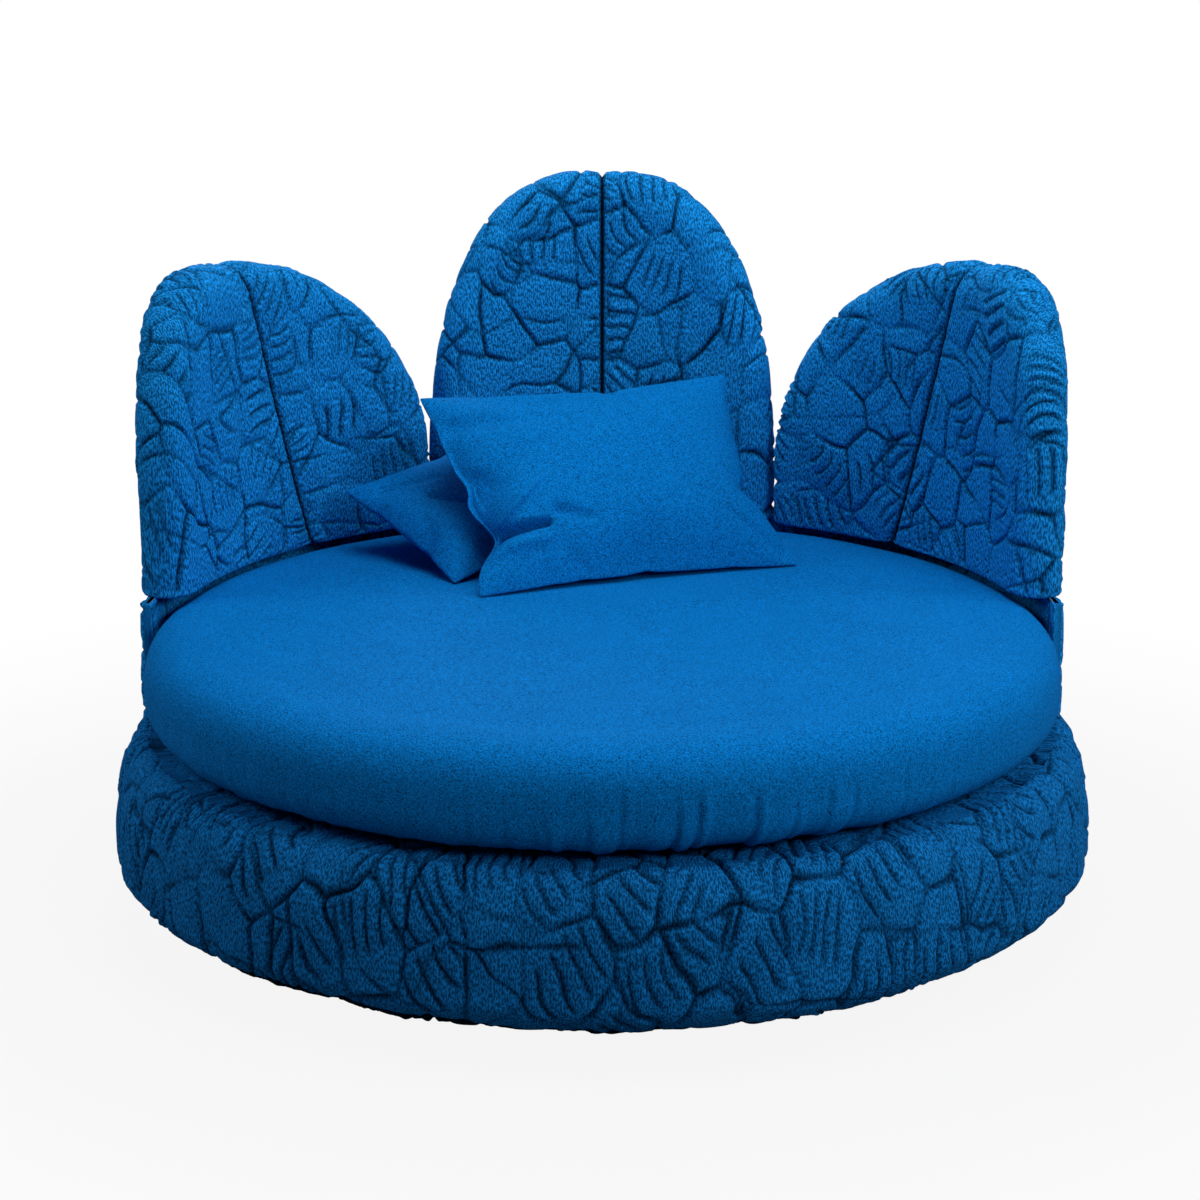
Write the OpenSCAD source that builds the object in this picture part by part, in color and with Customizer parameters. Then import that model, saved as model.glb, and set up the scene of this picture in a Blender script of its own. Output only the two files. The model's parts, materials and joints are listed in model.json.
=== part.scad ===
// Round outdoor daybed: a quilted drum base, a round loose seat cushion,
// three upholstered petal backrests on bent shells and two scatter pillows.
// Millimetres. Floor at z = 0, centre of the drum on the Z axis, front towards -Y.

/* [Base drum] */
// Radius of the base at its widest line
base_r = 860; // [820:5:1000]
// Height of the base's upholstered top
base_top = 321; // [300:1:400]
// Height of the widest line of the base
base_wide_z = 111; // [90:1:140]
// How far the cover tucks in above the plinth, from the widest line
foot_in = 169; // [120:1:200]
// How far the rounded shoulder reaches in to the flat top, from the widest line
shoulder_in = 77; // [66:1:110]
// How full the lower edge of the base is
foot_bulge = 1.53; // [1.3:0.01:2.5]
// How full the shoulder of the base is
shoulder_bulge = 2.69; // [2:0.01:3.5]
// Thickness of the quilted cloth
cloth_t = 4; // [3:0.5:5]
// Width of the cover's margin on the flat top, under the seat
cover_top_w = 133; // [123:1:220]
// Width of the cover's margin turned under the drum
cover_margin_w = 36; // [20:1:44]

/* [Plinth] */
// Height of the plastic floor glides
glide_h = 4; // [3:0.5:8]
// Diameter of a floor glide
glide_d = 34; // [26:1:38]
// Number of floor glides
glide_count = 8; // [6:1:12]
// Diameter of the pin that holds a glide
glide_pin_d = 6; // [4:1:8]
// Height of the black plinth ring
plinth_h = 16; // [14:1:24]
// Width of the plinth ring
plinth_w = 40; // [40:1:60]
// How far the plinth stands back from the cover
plinth_recess = 11; // [6:1:16]

/* [Inner frame] */
// Thickness of the bottom panel
panel_t = 15; // [12:1:18]
// Thickness of the deck panel
deck_t = 18; // [15:1:21]
// Thickness of the foam topping on the deck
topping_t = 14; // [10:1:20]
// How far the bent hoop between the panels stands in from the cover's foot
hoop_in = 19; // [8:1:30]
// Thickness of the hoop
hoop_t = 6; // [4:1:9]
// Thickness of a rib
rib_t = 15; // [12:1:20]
// Diameter of the lightening holes in a rib
rib_hole_d = 110; // [60:5:130]
// Diameter of the centre post
post_d = 100; // [80:5:140]
// Wall of the centre post
post_wall = 8; // [5:1:12]
// Diameter of the drain holes
drain_d = 36; // [20:2:50]
// Number of drain holes in a ring
drain_count = 12; // [8:1:16]
// Thread diameter of the wood screws
screw_d = 5; // [4:0.5:6]
// Length of the wood screws
screw_l = 30; // [25:1:40]
// Thickness of the dust cloth under the base
dust_t = 1.5; // [1:0.5:2]

/* [Seat cushion] */
// How far the seat cushion's side stands in from the base's widest line
seat_step = 56; // [52:1:70]
// Height of the cushion at its rim
seat_h = 185; // [160:1:200]
// Height of the cushion's widest line above its underside
seat_wide_h = 77; // [60:1:90]
// How far the underside's edge is drawn in
seat_foot_in = 130; // [90:5:160]
// How far the top edge is drawn in
seat_edge_in = 130; // [90:5:160]
// How full the underside's edge is
seat_foot_bulge = 2.4; // [2:0.1:3]
// How full the top edge is
seat_edge_bulge = 2.89; // [2:0.01:3.5]
// Rise of the crown above the rim
seat_crown = 4; // [0:1:6]
// Thickness of the seat's cloth
seat_cloth_t = 2.5; // [2:0.5:4]
// How far the edge of the mesh panel in the underside stands in from the seat's side
seat_mesh_in = 184; // [160:2:240]
// Thickness of the soft topper under the cloth
topper_t = 36; // [20:1:60]
// Height of the zip above the cushion's underside
zip_z = 38; // [30:1:50]
// Height of the slot that the zip lies in
zip_slot_h = 16; // [12:1:20]
// Depth of the slot that the zip lies in
zip_slot_d = 12; // [10:1:14]
// Half of the arc that the zip covers round the back
zip_half_a = 60; // [40:1:70]
// Length of the zip's slider
slider_l = 22; // [16:1:28]

/* [Backrests] */
// Clearance between the seat cushion and the backrest band
seat_gap = 2; // [1:0.5:4]
// Cloth on the band below the backrests
band_cloth_t = 2.6; // [2:0.1:3]
// Thickness of a bent back shell
shell_t = 8; // [6:1:10]
// How far the band's top stands above the seat's rim
band_rise = 5.7; // [4.7:1:20.7]
// Height of the lower edge of the shells, inside the base
shell_foot_z = 200; // [190:1:230]
// How far the line that joins a pad's front and back cloth stands in front of its shell
pad_lead = 13.9; // [8.9:1:23.9]
// Thickness of a pad away from its edges
pad_t = 100; // [96:1:104]
// Extra fullness in the middle of a pad's front and back
pad_crown = 5; // [0:1:6]
// Half thickness of the sewn edge of a pad
pad_edge_h = 3; // [2:0.5:4]
// How far a pad's rounded edge reaches in
pad_edge_in = 70; // [60:1:80]
// How full a pad's edge is
pad_edge_bulge = 2.5; // [2:0.1:3]
// Depth of the seam sewn down the front of a pad
seam_depth = 7; // [0:1:9]
// Azimuth of the side backrests' crown, from the side towards the back
side_crown_a = 24; // [22:1:27]
// Arc from the crown to the outer edge of a side backrest
side_outer_a = 17; // [15:0.5:19]
// Arc from the crown to the inner edge of a side backrest
side_inner_a = 40.3; // [38:0.1:40.4]
// Height of the side backrests above the band
side_h = 567; // [492:5:612]
// Height above the band at which a side backrest's outer edge starts to curve in
side_outer_rise = 193; // [148:5:248]
// Height above the band at which a side backrest's inner edge starts to curve in
side_inner_rise = 108; // [88:5:168]
// How full a side backrest's outer half is
side_outer_bulge = 2.6; // [2:0.1:3]
// How full a side backrest's inner half is
side_inner_bulge = 2.15; // [1.8:0.05:2.6]
// Share of its arc by which a side backrest's seam stands off its crown
seam_lead_share = 0.12; // [0:0.01:0.2]
// Share of its arc by which that seam leans further off towards its foot
seam_lean_share = 0.33; // [0:0.01:0.4]
// Half of the centre backrest's arc
centre_half_a = 25.2; // [22:0.1:25.3]
// Height of the centre backrest above the band
centre_h = 681; // [608:1:708]
// Height above the band at which the centre backrest's edges start to curve in
centre_rise = 18; // [8:5:128]
// How full the centre backrest's crown is
centre_bulge = 2.5; // [2:0.1:3]

/* [Brackets] */
// Thickness of the steel brackets
bracket_t = 3; // [2:0.5:4]
// Width of a bracket
bracket_w = 50; // [40:1:60]
// Length of a bracket's leg under the deck
bracket_leg = 56; // [45:1:70]
// Drop of a bracket's leg on the shell
bracket_drop = 50; // [40:1:60]
// Diameter of the bracket bolts
bolt_d = 6; // [5:1:8]

/* [Scatter pillows] */
// Width of the front pillow
front_w = 627; // [560:1:660]
// Height of the front pillow
front_h = 448; // [400:1:470]
// Thickness of the front pillow
front_t = 130; // [100:5:140]
// Width of the rear pillow
rear_w = 425; // [380:5:440]
// Height of the rear pillow
rear_h = 355; // [320:5:365]
// Thickness of the rear pillow
rear_t = 122; // [90:2:124]
// How far the sides of a pillow are drawn in between its corners
pillow_draw = 16; // [0:1:24]
// Half thickness of a pillow's sewn edge
pillow_edge_h = 1.8; // [1.4:0.1:3]
// Thickness of the pillow cloth
pillow_cloth_t = 1.2; // [0.8:0.1:1.3]

/* [Hidden] */
$fn = 96;

// Clearance between pieces that lie against each other
fit_gap = 0.3;
// Overrun of a cut past the face that it opens
cut = 10;
// Slack between a pad's foam and the inside of its cover
pad_slack = 3.6;
// Grid that the corners of the soft forms lie on
grid_step = 0.125;
// Room for the flat facets of a pad's rear foam outside the round shell
facet_gap = 2.6;
// Slack between a pillow's filling and the inside of its cover
pillow_slack = 0.4;
// Play of a hole round its screw
screw_play = 0.3;
// How far the shells and the pads' foams stay inside a pad's outline
shell_inset = 26;
front_foam_inset = 18;
rear_foam_inset = 30;
// Height of a screw's head and how much wider it is than its thread
head_h = 3;
head_extra_d = 5;

round_steps = 14;
foot_r = base_r - foot_in;
shoulder_r = base_r - shoulder_in;
cover_top_r = shoulder_r - cover_top_w;
hoop_r = foot_r - hoop_in;
seat_r = base_r - seat_step;
seat_mesh_r = seat_r - seat_mesh_in;
foot_z = glide_h + plinth_h;
plinth_r = foot_r - plinth_recess;
plinth_in_r = plinth_r - plinth_w;
panel_z = foot_z + cloth_t + fit_gap;
rib_z = panel_z + panel_t + fit_gap;
deck_top = base_top - cloth_t - topping_t;
deck_z = deck_top - deck_t;
rib_h = deck_z - fit_gap - rib_z;
rib_in_r = post_d / 2 + fit_gap;
rib_out_r = hoop_r - hoop_t - fit_gap;
rib_count = 8;
band_in_r = seat_r + seat_gap;
shell_in_r = band_in_r + band_cloth_t + fit_gap;
shell_out_r = shell_in_r + shell_t;
band_out_r = shell_out_r + fit_gap + band_cloth_t;
pad_mid_r = shell_in_r - pad_lead;
pad_front_r = pad_mid_r - pad_t / 2;
deck_r = shell_in_r - fit_gap;
seat_z = base_top + fit_gap;
seat_flat_r = seat_r - seat_edge_in;
seat_rim_z = seat_z + seat_h;
seat_top_z = seat_rim_z + seat_crown;
// Share of the flat radius inside which the seat's crown is level
crown_level_share = 0.86;
band_top = seat_rim_z + band_rise;
pad_z = band_top + fit_gap;
side_top = band_top + side_h;
side_outer_z = band_top + side_outer_rise;
side_inner_z = band_top + side_inner_rise;
centre_top = band_top + centre_h;
centre_shoulder_z = band_top + centre_rise;
// Azimuth at which the band starts behind the sides, and how far inside it the shells' feet end
band_from_a = 4;
band_end_a = 0.6;
shell_gap_a = 0.8;

// A backrest: crown azimuth, outer arc, inner arc, height, outer and inner shoulder heights,
// fullness of the outer and inner half, and the shares that lead its seam off its middle line
side_petal = [side_crown_a, side_outer_a, side_inner_a, side_top, side_outer_z, side_inner_z,
    side_outer_bulge, side_inner_bulge, seam_lead_share, seam_lean_share];
centre_petal = [90, centre_half_a, centre_half_a, centre_top, centre_shoulder_z,
    centre_shoulder_z, centre_bulge, centre_bulge, 0, 0];

// Columns and rows of a pad's grid, as shares of its half width and height
column_shares = [-0.995, -0.97, -0.89, -0.76, -0.57, -0.34, -0.2, -0.06, 0, 0.06, 0.2, 0.34, 0.57,
    0.76, 0.89, 0.97, 0.995];
row_shares = [0, 0.25, 0.52, 0.74, 0.9, 0.965, 0.99, 1];

// Places of the two pillows on the seat, from the middle and from the centre backrest's face
front_right = 12;
front_ahead = 367;
front_yaw_a = 21.5;
front_lean_a = 47.5;
front_roll_a = 0;
rear_left = 212;
rear_ahead = 285;
rear_yaw_a = 4;
rear_lean_a = 67.5;
rear_roll_a = 34.5;
pillow_columns = 6;
pillow_rows = 4;

cloth_blue = [0.0, 0.25, 0.62];
quilt_blue = [0.0, 0.2, 0.52];
foam_cream = [0.9, 0.87, 0.76];
ply_brown = [0.72, 0.56, 0.36];
steel_grey = [0.62, 0.64, 0.66];
matt_black = [0.05, 0.05, 0.06];

// Share of its depth by which a rounded edge has drawn in at share t of its height
function drawn_in(t, bulge) = 1 - pow(max(0, 1 - pow(t, bulge)), 1 / bulge);

// Heights of the steps round an edge, closer together where it turns most
function edge_step(k) = sin(90 * k / round_steps);

// Outline of the base from the plinth to the flat top, s inside its outer face
function base_curve(s) = concat(
    [for (k = [round_steps:-1:1]) [
        base_r - s - (base_r - foot_r) * drawn_in(edge_step(k), foot_bulge),
        base_wide_z - (base_wide_z - foot_z - s) * edge_step(k)]],
    [for (k = [0:round_steps]) [
        base_r - s - (base_r - shoulder_r) * drawn_in(edge_step(k), shoulder_bulge),
        base_wide_z + (base_top - s - base_wide_z) * edge_step(k)]]);

// Height of the base's top face at radius r
function base_top_at(r) = r <= shoulder_r ? base_top
    : base_wide_z + (base_top - base_wide_z)
        * pow(1 - pow(1 - (base_r - r) / (base_r - shoulder_r), shoulder_bulge),
            1 / shoulder_bulge);

// Outline of the seat cushion, s inside its outer face
function seat_curve(s) = concat(
    [[0, seat_z + s]],
    [for (k = [round_steps:-1:1]) [
        seat_r - s - seat_foot_in * drawn_in(edge_step(k), seat_foot_bulge),
        seat_z + seat_wide_h - (seat_wide_h - s) * edge_step(k)]],
    [for (k = [0:round_steps]) [
        seat_r - s - seat_edge_in * drawn_in(edge_step(k), seat_edge_bulge),
        seat_z + seat_wide_h + (seat_h - seat_wide_h - s) * edge_step(k)]],
    [[seat_flat_r * crown_level_share, seat_top_z - s], [0, seat_top_z - s]]);

// Solid of revolution of the base and of the seat, s inside the outer face
module base_body(s) rotate_extrude() polygon(concat(
    base_curve(s), [[0, base_top - s], [0, foot_z + s]]));
module seat_body(s) rotate_extrude() polygon(seat_curve(s));

// Part of a ring between two azimuths
module ring_sector(from, to, r_in, r_out, z, h)
    rotate([0, 0, from]) rotate_extrude(angle = to - from)
        translate([r_in, z]) square([r_out - r_in, h]);

// A flat disc
module disc(r, z, h) translate([0, 0, z]) cylinder(r = r, h = h);

// A countersunk screw with its point up, head at the origin
module screw(l, d) {
    cylinder(d1 = d + head_extra_d, d2 = d, h = head_h);
    cylinder(d = d, h = l);
}

// Copies of a child round the axis, the first at azimuth start
module round_axis(count, r, start)
    for (k = [0:count - 1]) rotate([0, 0, start + 360 * k / count]) translate([r, 0, 0]) children();

// The base

module glide_places() round_axis(glide_count, plinth_r - plinth_w / 2, 0) children();
module plinth_screw_places()
    round_axis(glide_count, plinth_in_r + screw_d + head_extra_d / 2, 180 / glide_count) children();
// The pins reach half way up the plinth
glide_pin_h = plinth_h / 2;

module floor_glides() color(matt_black) glide_places() {
    cylinder(d = glide_d, h = glide_h);
    cylinder(d = glide_pin_d, h = glide_h + glide_pin_h);
}

module plinth_ring() color(matt_black) difference() {
    disc(plinth_r, glide_h, plinth_h);
    disc(plinth_in_r, glide_h - cut, plinth_h + 2 * cut);
    glide_places() translate([0, 0, glide_h - cut])
        cylinder(d = glide_pin_d + 2 * screw_play, h = cut + glide_pin_h + fit_gap);
    plinth_screw_places() translate([0, 0, glide_h]) {
        translate([0, 0, -cut]) cylinder(d = screw_d + 2 * screw_play, h = plinth_h + 2 * cut);
        cylinder(d1 = screw_d + head_extra_d + 2 * screw_play, d2 = screw_d + 2 * screw_play,
            h = head_h + screw_play);
    }
}

module plinth_screws() color(steel_grey)
    plinth_screw_places() translate([0, 0, glide_h + screw_play]) screw(screw_l, screw_d);

module base_dust_cloth() color(matt_black) difference() {
    disc(plinth_in_r - fit_gap, panel_z - dust_t, dust_t);
    round_axis(drain_count, rib_out_r / 2, 15) disc(drain_d / 2, panel_z - cut, 2 * cut);
}

module base_bottom_panel() color(ply_brown) difference() {
    disc(hoop_r, panel_z, panel_t);
    round_axis(drain_count, rib_out_r / 2, 15) disc(drain_d / 2, panel_z - cut, panel_t + 2 * cut);
    plinth_screw_places() translate([0, 0, panel_z - cut])
        cylinder(d = screw_d + 2 * screw_play, h = glide_h + screw_l + cut + 2 * screw_play - panel_z);
}

module centre_post() color(ply_brown) difference() {
    disc(post_d / 2, rib_z, rib_h);
    disc(post_d / 2 - post_wall, rib_z - cut, rib_h + 2 * cut);
}

// Screws through the deck into the ribs, two to a rib
module deck_screw_places() for (share = [0.2, 0.8])
    round_axis(rib_count, rib_in_r + (rib_out_r - rib_in_r) * share, 0)
        translate([0, 0, deck_top]) children();

module rib(k) color(ply_brown) difference() {
    rotate([0, 0, 360 * (k - 1) / rib_count]) difference() {
        translate([rib_in_r, -rib_t / 2, rib_z]) cube([rib_out_r - rib_in_r, rib_t, rib_h]);
        for (share = [0.14, 0.38, 0.62, 0.86])
            translate([rib_in_r + (rib_out_r - rib_in_r) * share, 0, rib_z + rib_h / 2])
                rotate([90, 0, 0]) cylinder(d = rib_hole_d, h = rib_t + 2 * cut, center = true);
    }
    deck_screw_places() mirror([0, 0, 1])
        cylinder(d = screw_d + 2 * screw_play, h = screw_l + 2 * screw_play);
}

module base_hoop() color(ply_brown) difference() {
    disc(hoop_r, rib_z, rib_h);
    disc(hoop_r - hoop_t, rib_z - cut, rib_h + 2 * cut);
}

module deck_panel() color(ply_brown) difference() {
    disc(deck_r, deck_z, deck_t);
    round_axis(drain_count, rib_out_r / 2, 15) disc(drain_d / 2, deck_z - cut, deck_t + 2 * cut);
    deck_screw_places() mirror([0, 0, 1]) {
        translate([0, 0, -cut]) cylinder(d = screw_d + 2 * screw_play, h = deck_t + 2 * cut);
        cylinder(d1 = screw_d + head_extra_d + 2 * screw_play, d2 = screw_d + 2 * screw_play,
            h = head_h + screw_play);
    }
    bracket_places() for (w = bracket_screw_ws)
        translate([bracket_screw_r, w, deck_z - cut])
            cylinder(d = screw_d + 2 * screw_play, h = cut + bracket_screw_up + screw_play);
}

module deck_screws() color(steel_grey)
    deck_screw_places() translate([0, 0, -screw_play]) mirror([0, 0, 1])
        screw(screw_l - screw_play, screw_d);

// Slot round the back half that the shells stand in
module shell_slot(play, z) ring_sector(band_from_a, 180 - band_from_a, shell_in_r - play,
    shell_out_r + play, z, base_top);

// Room for the brackets in the foam below the deck
module bracket_pockets() bracket_places()
    translate([deck_r - bracket_leg - bracket_w / 2, -bracket_w / 2 - bracket_t,
        deck_z - bracket_drop - bracket_t])
        cube([bracket_leg + bracket_w / 2 + fit_gap, bracket_w + 2 * bracket_t,
            bracket_drop + 2 * bracket_t]);

module base_foam_side() color(foam_cream) difference() {
    base_body(cloth_t + fit_gap);
    disc(base_r, deck_top, base_top);
    disc(deck_r + fit_gap, deck_z - fit_gap, base_top);
    disc(hoop_r + fit_gap, -cut, base_top + cut);
    shell_slot(fit_gap, shell_foot_z - fit_gap);
    bracket_pockets();
}

module base_foam_top() color(foam_cream) difference() {
    base_body(cloth_t + fit_gap);
    disc(base_r + cut, -cut, deck_top + fit_gap + cut);
    shell_slot(fit_gap, shell_foot_z);
}

module base_cover() color(quilt_blue) difference() {
    base_body(0);
    base_body(cloth_t);
    disc(cover_top_r, base_wide_z, base_top);
    disc(foot_r - cover_margin_w, -cut, base_wide_z + cut);
    shell_slot(fit_gap, shell_foot_z);
}

module deck_cloth() color(matt_black)
    disc(cover_top_r - fit_gap, base_top - cloth_t, cloth_t);

// The backrests' shells, brackets and band

// Azimuths of the two brackets of each backrest, as shares of its arc
bracket_shares = [0.2, 0.8];
centre_from_a = 90 - centre_half_a;
side_to_a = side_crown_a + side_inner_a;
bracket_as = [for (k = [0:1]) side_to_a * bracket_shares[k]];
bracket_centre_as = [for (k = [0:1]) centre_from_a + 2 * centre_half_a * bracket_shares[k]];
bracket_screw_r = deck_r - bracket_leg / 2;
bracket_screw_ws = [-bracket_w / 4, bracket_w / 4];
bracket_screw_up = deck_t - bracket_t;
bracket_bolt_z = deck_z - bracket_drop / 2;
nut_h = bolt_d * 0.8;

module bracket_places() for (a = concat(bracket_as, bracket_centre_as, [for (b = bracket_as) 180 - b]))
    rotate([0, 0, a]) children();

// How far the curve of the deck's edge falls back at a bracket's side
bracket_sag = deck_r - sqrt(deck_r * deck_r - bracket_w * bracket_w / 4);
bracket_out_r = deck_r - bracket_sag;

// A leg under the deck and one down the inside of the shell
module shell_brackets() color(steel_grey) bracket_places() difference() {
    translate([deck_r - bracket_leg, -bracket_w / 2, deck_z - bracket_drop])
        cube([bracket_leg - bracket_sag, bracket_w, bracket_drop - fit_gap]);
    translate([deck_r - bracket_leg - cut, -bracket_w / 2 - cut, deck_z - bracket_drop - cut])
        cube([bracket_leg + cut - bracket_t - bracket_sag, bracket_w + 2 * cut,
            bracket_drop + cut - bracket_t - fit_gap]);
    translate([bracket_out_r - bracket_t - cut, 0, bracket_bolt_z]) rotate([0, 90, 0])
        cylinder(d = bolt_d + 2 * screw_play, h = bracket_t + 2 * cut);
    for (w = bracket_screw_ws) translate([bracket_screw_r, w, deck_z - bracket_t - cut])
        cylinder(d = screw_d + 2 * screw_play, h = bracket_t + 2 * cut);
}

module bracket_bolts() color(steel_grey) bracket_places()
    translate([shell_out_r - screw_play, 0, bracket_bolt_z]) rotate([0, -90, 0]) {
        screw(bolt_l, bolt_d);
        translate([0, 0, bolt_l - nut_h]) difference() {
            cylinder(d = bolt_d + head_extra_d, h = nut_h);
            translate([0, 0, -cut]) cylinder(d = bolt_d - screw_play, h = nut_h + 2 * cut);
        }
    }
bolt_l = shell_t + bracket_t + bracket_sag + nut_h + 2 * fit_gap;

module bracket_screws() color(steel_grey) bracket_places() for (w = bracket_screw_ws)
    translate([bracket_screw_r, w, deck_z - bracket_t - fit_gap - head_h]) {
        cylinder(d = screw_d + head_extra_d, h = head_h - fit_gap);
        cylinder(d = screw_d, h = head_h + bracket_t + bracket_screw_up - fit_gap);
    }

// Quilted band round the shells between the base and the pads
module band_cover() color(quilt_blue) difference() {
    rotate([0, 0, band_from_a]) rotate_extrude(angle = 180 - 2 * band_from_a) polygon(concat(
        [for (k = [0:round_steps]) let (r = band_in_r + (band_out_r - band_in_r) * k / round_steps)
            [r, base_top_at(r) + fit_gap]],
        [[band_out_r, band_top], [band_in_r, band_top]]));
    ring_sector(band_from_a + band_end_a / 2, 180 - band_from_a - band_end_a / 2,
        shell_in_r - fit_gap, shell_out_r + fit_gap, base_wide_z, band_top);
}

// Top height at share x of a petal's arc, above its shoulder, with its crown lowered by s
function petal_top(p, x, s) = let (o = x < 0, zs = o ? p[4] : p[5], b = o ? p[6] : p[7])
    zs + (p[3] - s - zs) * pow(max(0, 1 - pow(abs(x), b)), 1 / b);

// Angle of an arc of length l at radius r
function arc_a(l, r) = l / r * 180 / PI;

// Arc of a petal on the side of x, in degrees, with its outline moved in by s
function petal_arc(p, x, s) = (x < 0 ? p[1] : p[2]) - arc_a(s, pad_mid_r);

// Distance from a point to a petal's outline, and a pad's half thickness there
function petal_inside(p, a, z, s) = let (o = a < 0, zs = o ? p[4] : p[5], b = o ? p[6] : p[7],
    x = abs(a) / petal_arc(p, a, s), up = max(0, z - zs) / (p[3] - s - zs),
    level = pow(pow(x, b) + pow(up, b), 1 / b))
    level < 0.02 ? pad_edge_in : max(0, (1 / level - 1)
        * norm([x * petal_arc(p, a, s) * PI / 180 * pad_mid_r, up * (p[3] - s - zs)]));
function pad_fullness(d) = d >= pad_edge_in ? 1
    : pow(1 - pow(1 - d / pad_edge_in, pad_edge_bulge), 1 / pad_edge_bulge);
function pad_half(p, a, z, s) = let (d = petal_inside(p, a, z, s), arc = petal_arc(p, a, s))
    pad_edge_h + (pad_t / 2 - s - pad_edge_h) * pad_fullness(d)
        + pad_crown * pad_fullness(d) * (1 - pow(a / arc, 2));

// Azimuth from the crown and height of a grid point, with the outline moved in by s
function pad_place(p, x, v, s) = let (bent = x + (1 - x * x) * (p[8] + p[9] * (1 - v)),
    z0 = pad_z + s)
    [bent * petal_arc(p, bent, s), z0 + (petal_top(p, bent, s) - z0) * v];

// Point at azimuth a from a petal's crown, radius r and height z, to the nearest grid step
function on_grid(v) = [for (c = v) round(c / grid_step) * grid_step];
function petal_point(p, a, r, z) = on_grid([r * cos(p[0] + a), r * sin(p[0] + a), z]);

// Triangles of a closed block whose front and back are grids of m by n points
function block_faces(m, n) = let (b = m * n) concat(
    [for (i = [0:m - 2], j = [0:n - 2]) let (q = i * n + j) each
        [[q, q + n + 1, q + 1], [q, q + n, q + n + 1],
            [b + q, b + q + 1, b + q + n + 1], [b + q, b + q + n + 1, b + q + n]]],
    [for (i = [0:m - 2]) let (q = i * n, t = i * n + n - 1) each
        [[q, b + q, b + q + n], [q, b + q + n, q + n],
            [t, b + t + n, b + t], [t, t + n, b + t + n]]],
    [for (j = [0:n - 2]) let (q = j, t = (m - 1) * n + j) each
        [[q, q + 1, b + q + 1], [q, b + q + 1, b + q],
            [t, b + t + 1, t + 1], [t, b + t, b + t + 1]]]);

// A pad whose faces lie s inside its outer face; front and back give a fixed radius instead of
// one of its faces, and its outline is moved in by a further amount
module pad(p, s, inset, front, back) {
    places = [for (x = column_shares, v = row_shares)
        let (q = pad_place(p, x, v, s + inset)) [q[0], q[1], x]];
    points = concat(
        [for (q = places) petal_point(p, q[0], front > 0 ? front
            : pad_mid_r - pad_half(p, q[0], q[1], s) + (q[2] == 0 ? seam_depth : 0), q[1])],
        [for (q = places) petal_point(p, q[0], back > 0 ? back
            : pad_mid_r + pad_half(p, q[0], q[1], s), q[1])]);
    polyhedron(points, block_faces(len(column_shares), len(row_shares)), convexity = 6);
}

// The bent shell of a petal: a wide foot in the band and a tongue inside the pad
module petal_shell(p, from, to) color(ply_brown) difference() {
    union() {
        ring_sector(from, to, shell_in_r, shell_out_r, shell_foot_z, band_top - shell_foot_z);
        intersection() {
            ring_sector(from, to, shell_in_r, shell_out_r, shell_foot_z, centre_top - shell_foot_z);
            rotate([90, 0, 90 + p[0]]) linear_extrude(height = shell_out_r + cut) polygon(concat(
                [[-shell_in_r * sin(petal_arc(p, -1, shell_inset)), shell_foot_z]],
                [for (x = [-1:0.1:1.01]) [shell_in_r * sin(x * petal_arc(p, x, shell_inset)),
                    petal_top(p, min(x, 1), shell_inset)]],
                [[shell_in_r * sin(petal_arc(p, 1, shell_inset)), shell_foot_z]]));
        }
    }
    bracket_places() translate([shell_in_r - cut, 0, bracket_bolt_z]) rotate([0, 90, 0]) {
        cylinder(d = bolt_d + 2 * screw_play, h = shell_t + 2 * cut);
        translate([0, 0, cut + shell_t - head_h - screw_play])
            cylinder(d1 = bolt_d + 2 * screw_play, d2 = bolt_d + head_extra_d + 4 * screw_play,
                h = head_h + screw_play);
    }
}

// The cloth of a petal: a closed bag with a slot in its lower edge for the shell
module petal_cover(p, from, to) color(quilt_blue) difference() {
    pad(p, 0, 0, 0, 0);
    pad(p, cloth_t, 0, 0, 0);
    ring_sector(from, to, shell_in_r - fit_gap, shell_out_r + fit_gap, base_top,
        pad_z + cloth_t + fit_gap - base_top);
}

// The foam fills a pad in front of its shell and behind it
module petal_foam_front(p) color(foam_cream)
    pad(p, cloth_t + pad_slack, front_foam_inset, 0, shell_in_r - fit_gap);
module petal_foam_rear(p) color(foam_cream)
    pad(p, cloth_t + pad_slack, rear_foam_inset, shell_out_r + facet_gap, 0);

// Ends of the shells' feet
side_shell_as = [band_from_a + band_end_a, side_to_a - shell_gap_a / 2];
centre_shell_as = [centre_from_a + shell_gap_a / 2, 180 - centre_from_a - shell_gap_a / 2];

module right_shell() petal_shell(side_petal, side_shell_as[0], side_shell_as[1]);
module right_cover() petal_cover(side_petal, side_shell_as[0], side_shell_as[1]);
module centre_shell() petal_shell(centre_petal, centre_shell_as[0], centre_shell_as[1]);
module centre_cover() petal_cover(centre_petal, centre_shell_as[0], centre_shell_as[1]);

// The seat cushion

// The slot along the back that the zip lies in
seat_slot_r = seat_r - seat_foot_in * drawn_in(1 - zip_z / seat_wide_h, seat_foot_bulge);
zip_floor_r = seat_slot_r - zip_slot_d;
zip_t = 2;
slider_t = zip_slot_d - zip_t - 4 * fit_gap;
slider_a = arc_a(slider_l, zip_floor_r);
// The slot runs a slider's length past both ends of the zip
slot_half_a = zip_half_a + slider_a;

module zip_slot() ring_sector(90 - slot_half_a, 90 + slot_half_a, zip_floor_r, seat_r + cut,
    seat_z + zip_z - zip_slot_h / 2, zip_slot_h);

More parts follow.
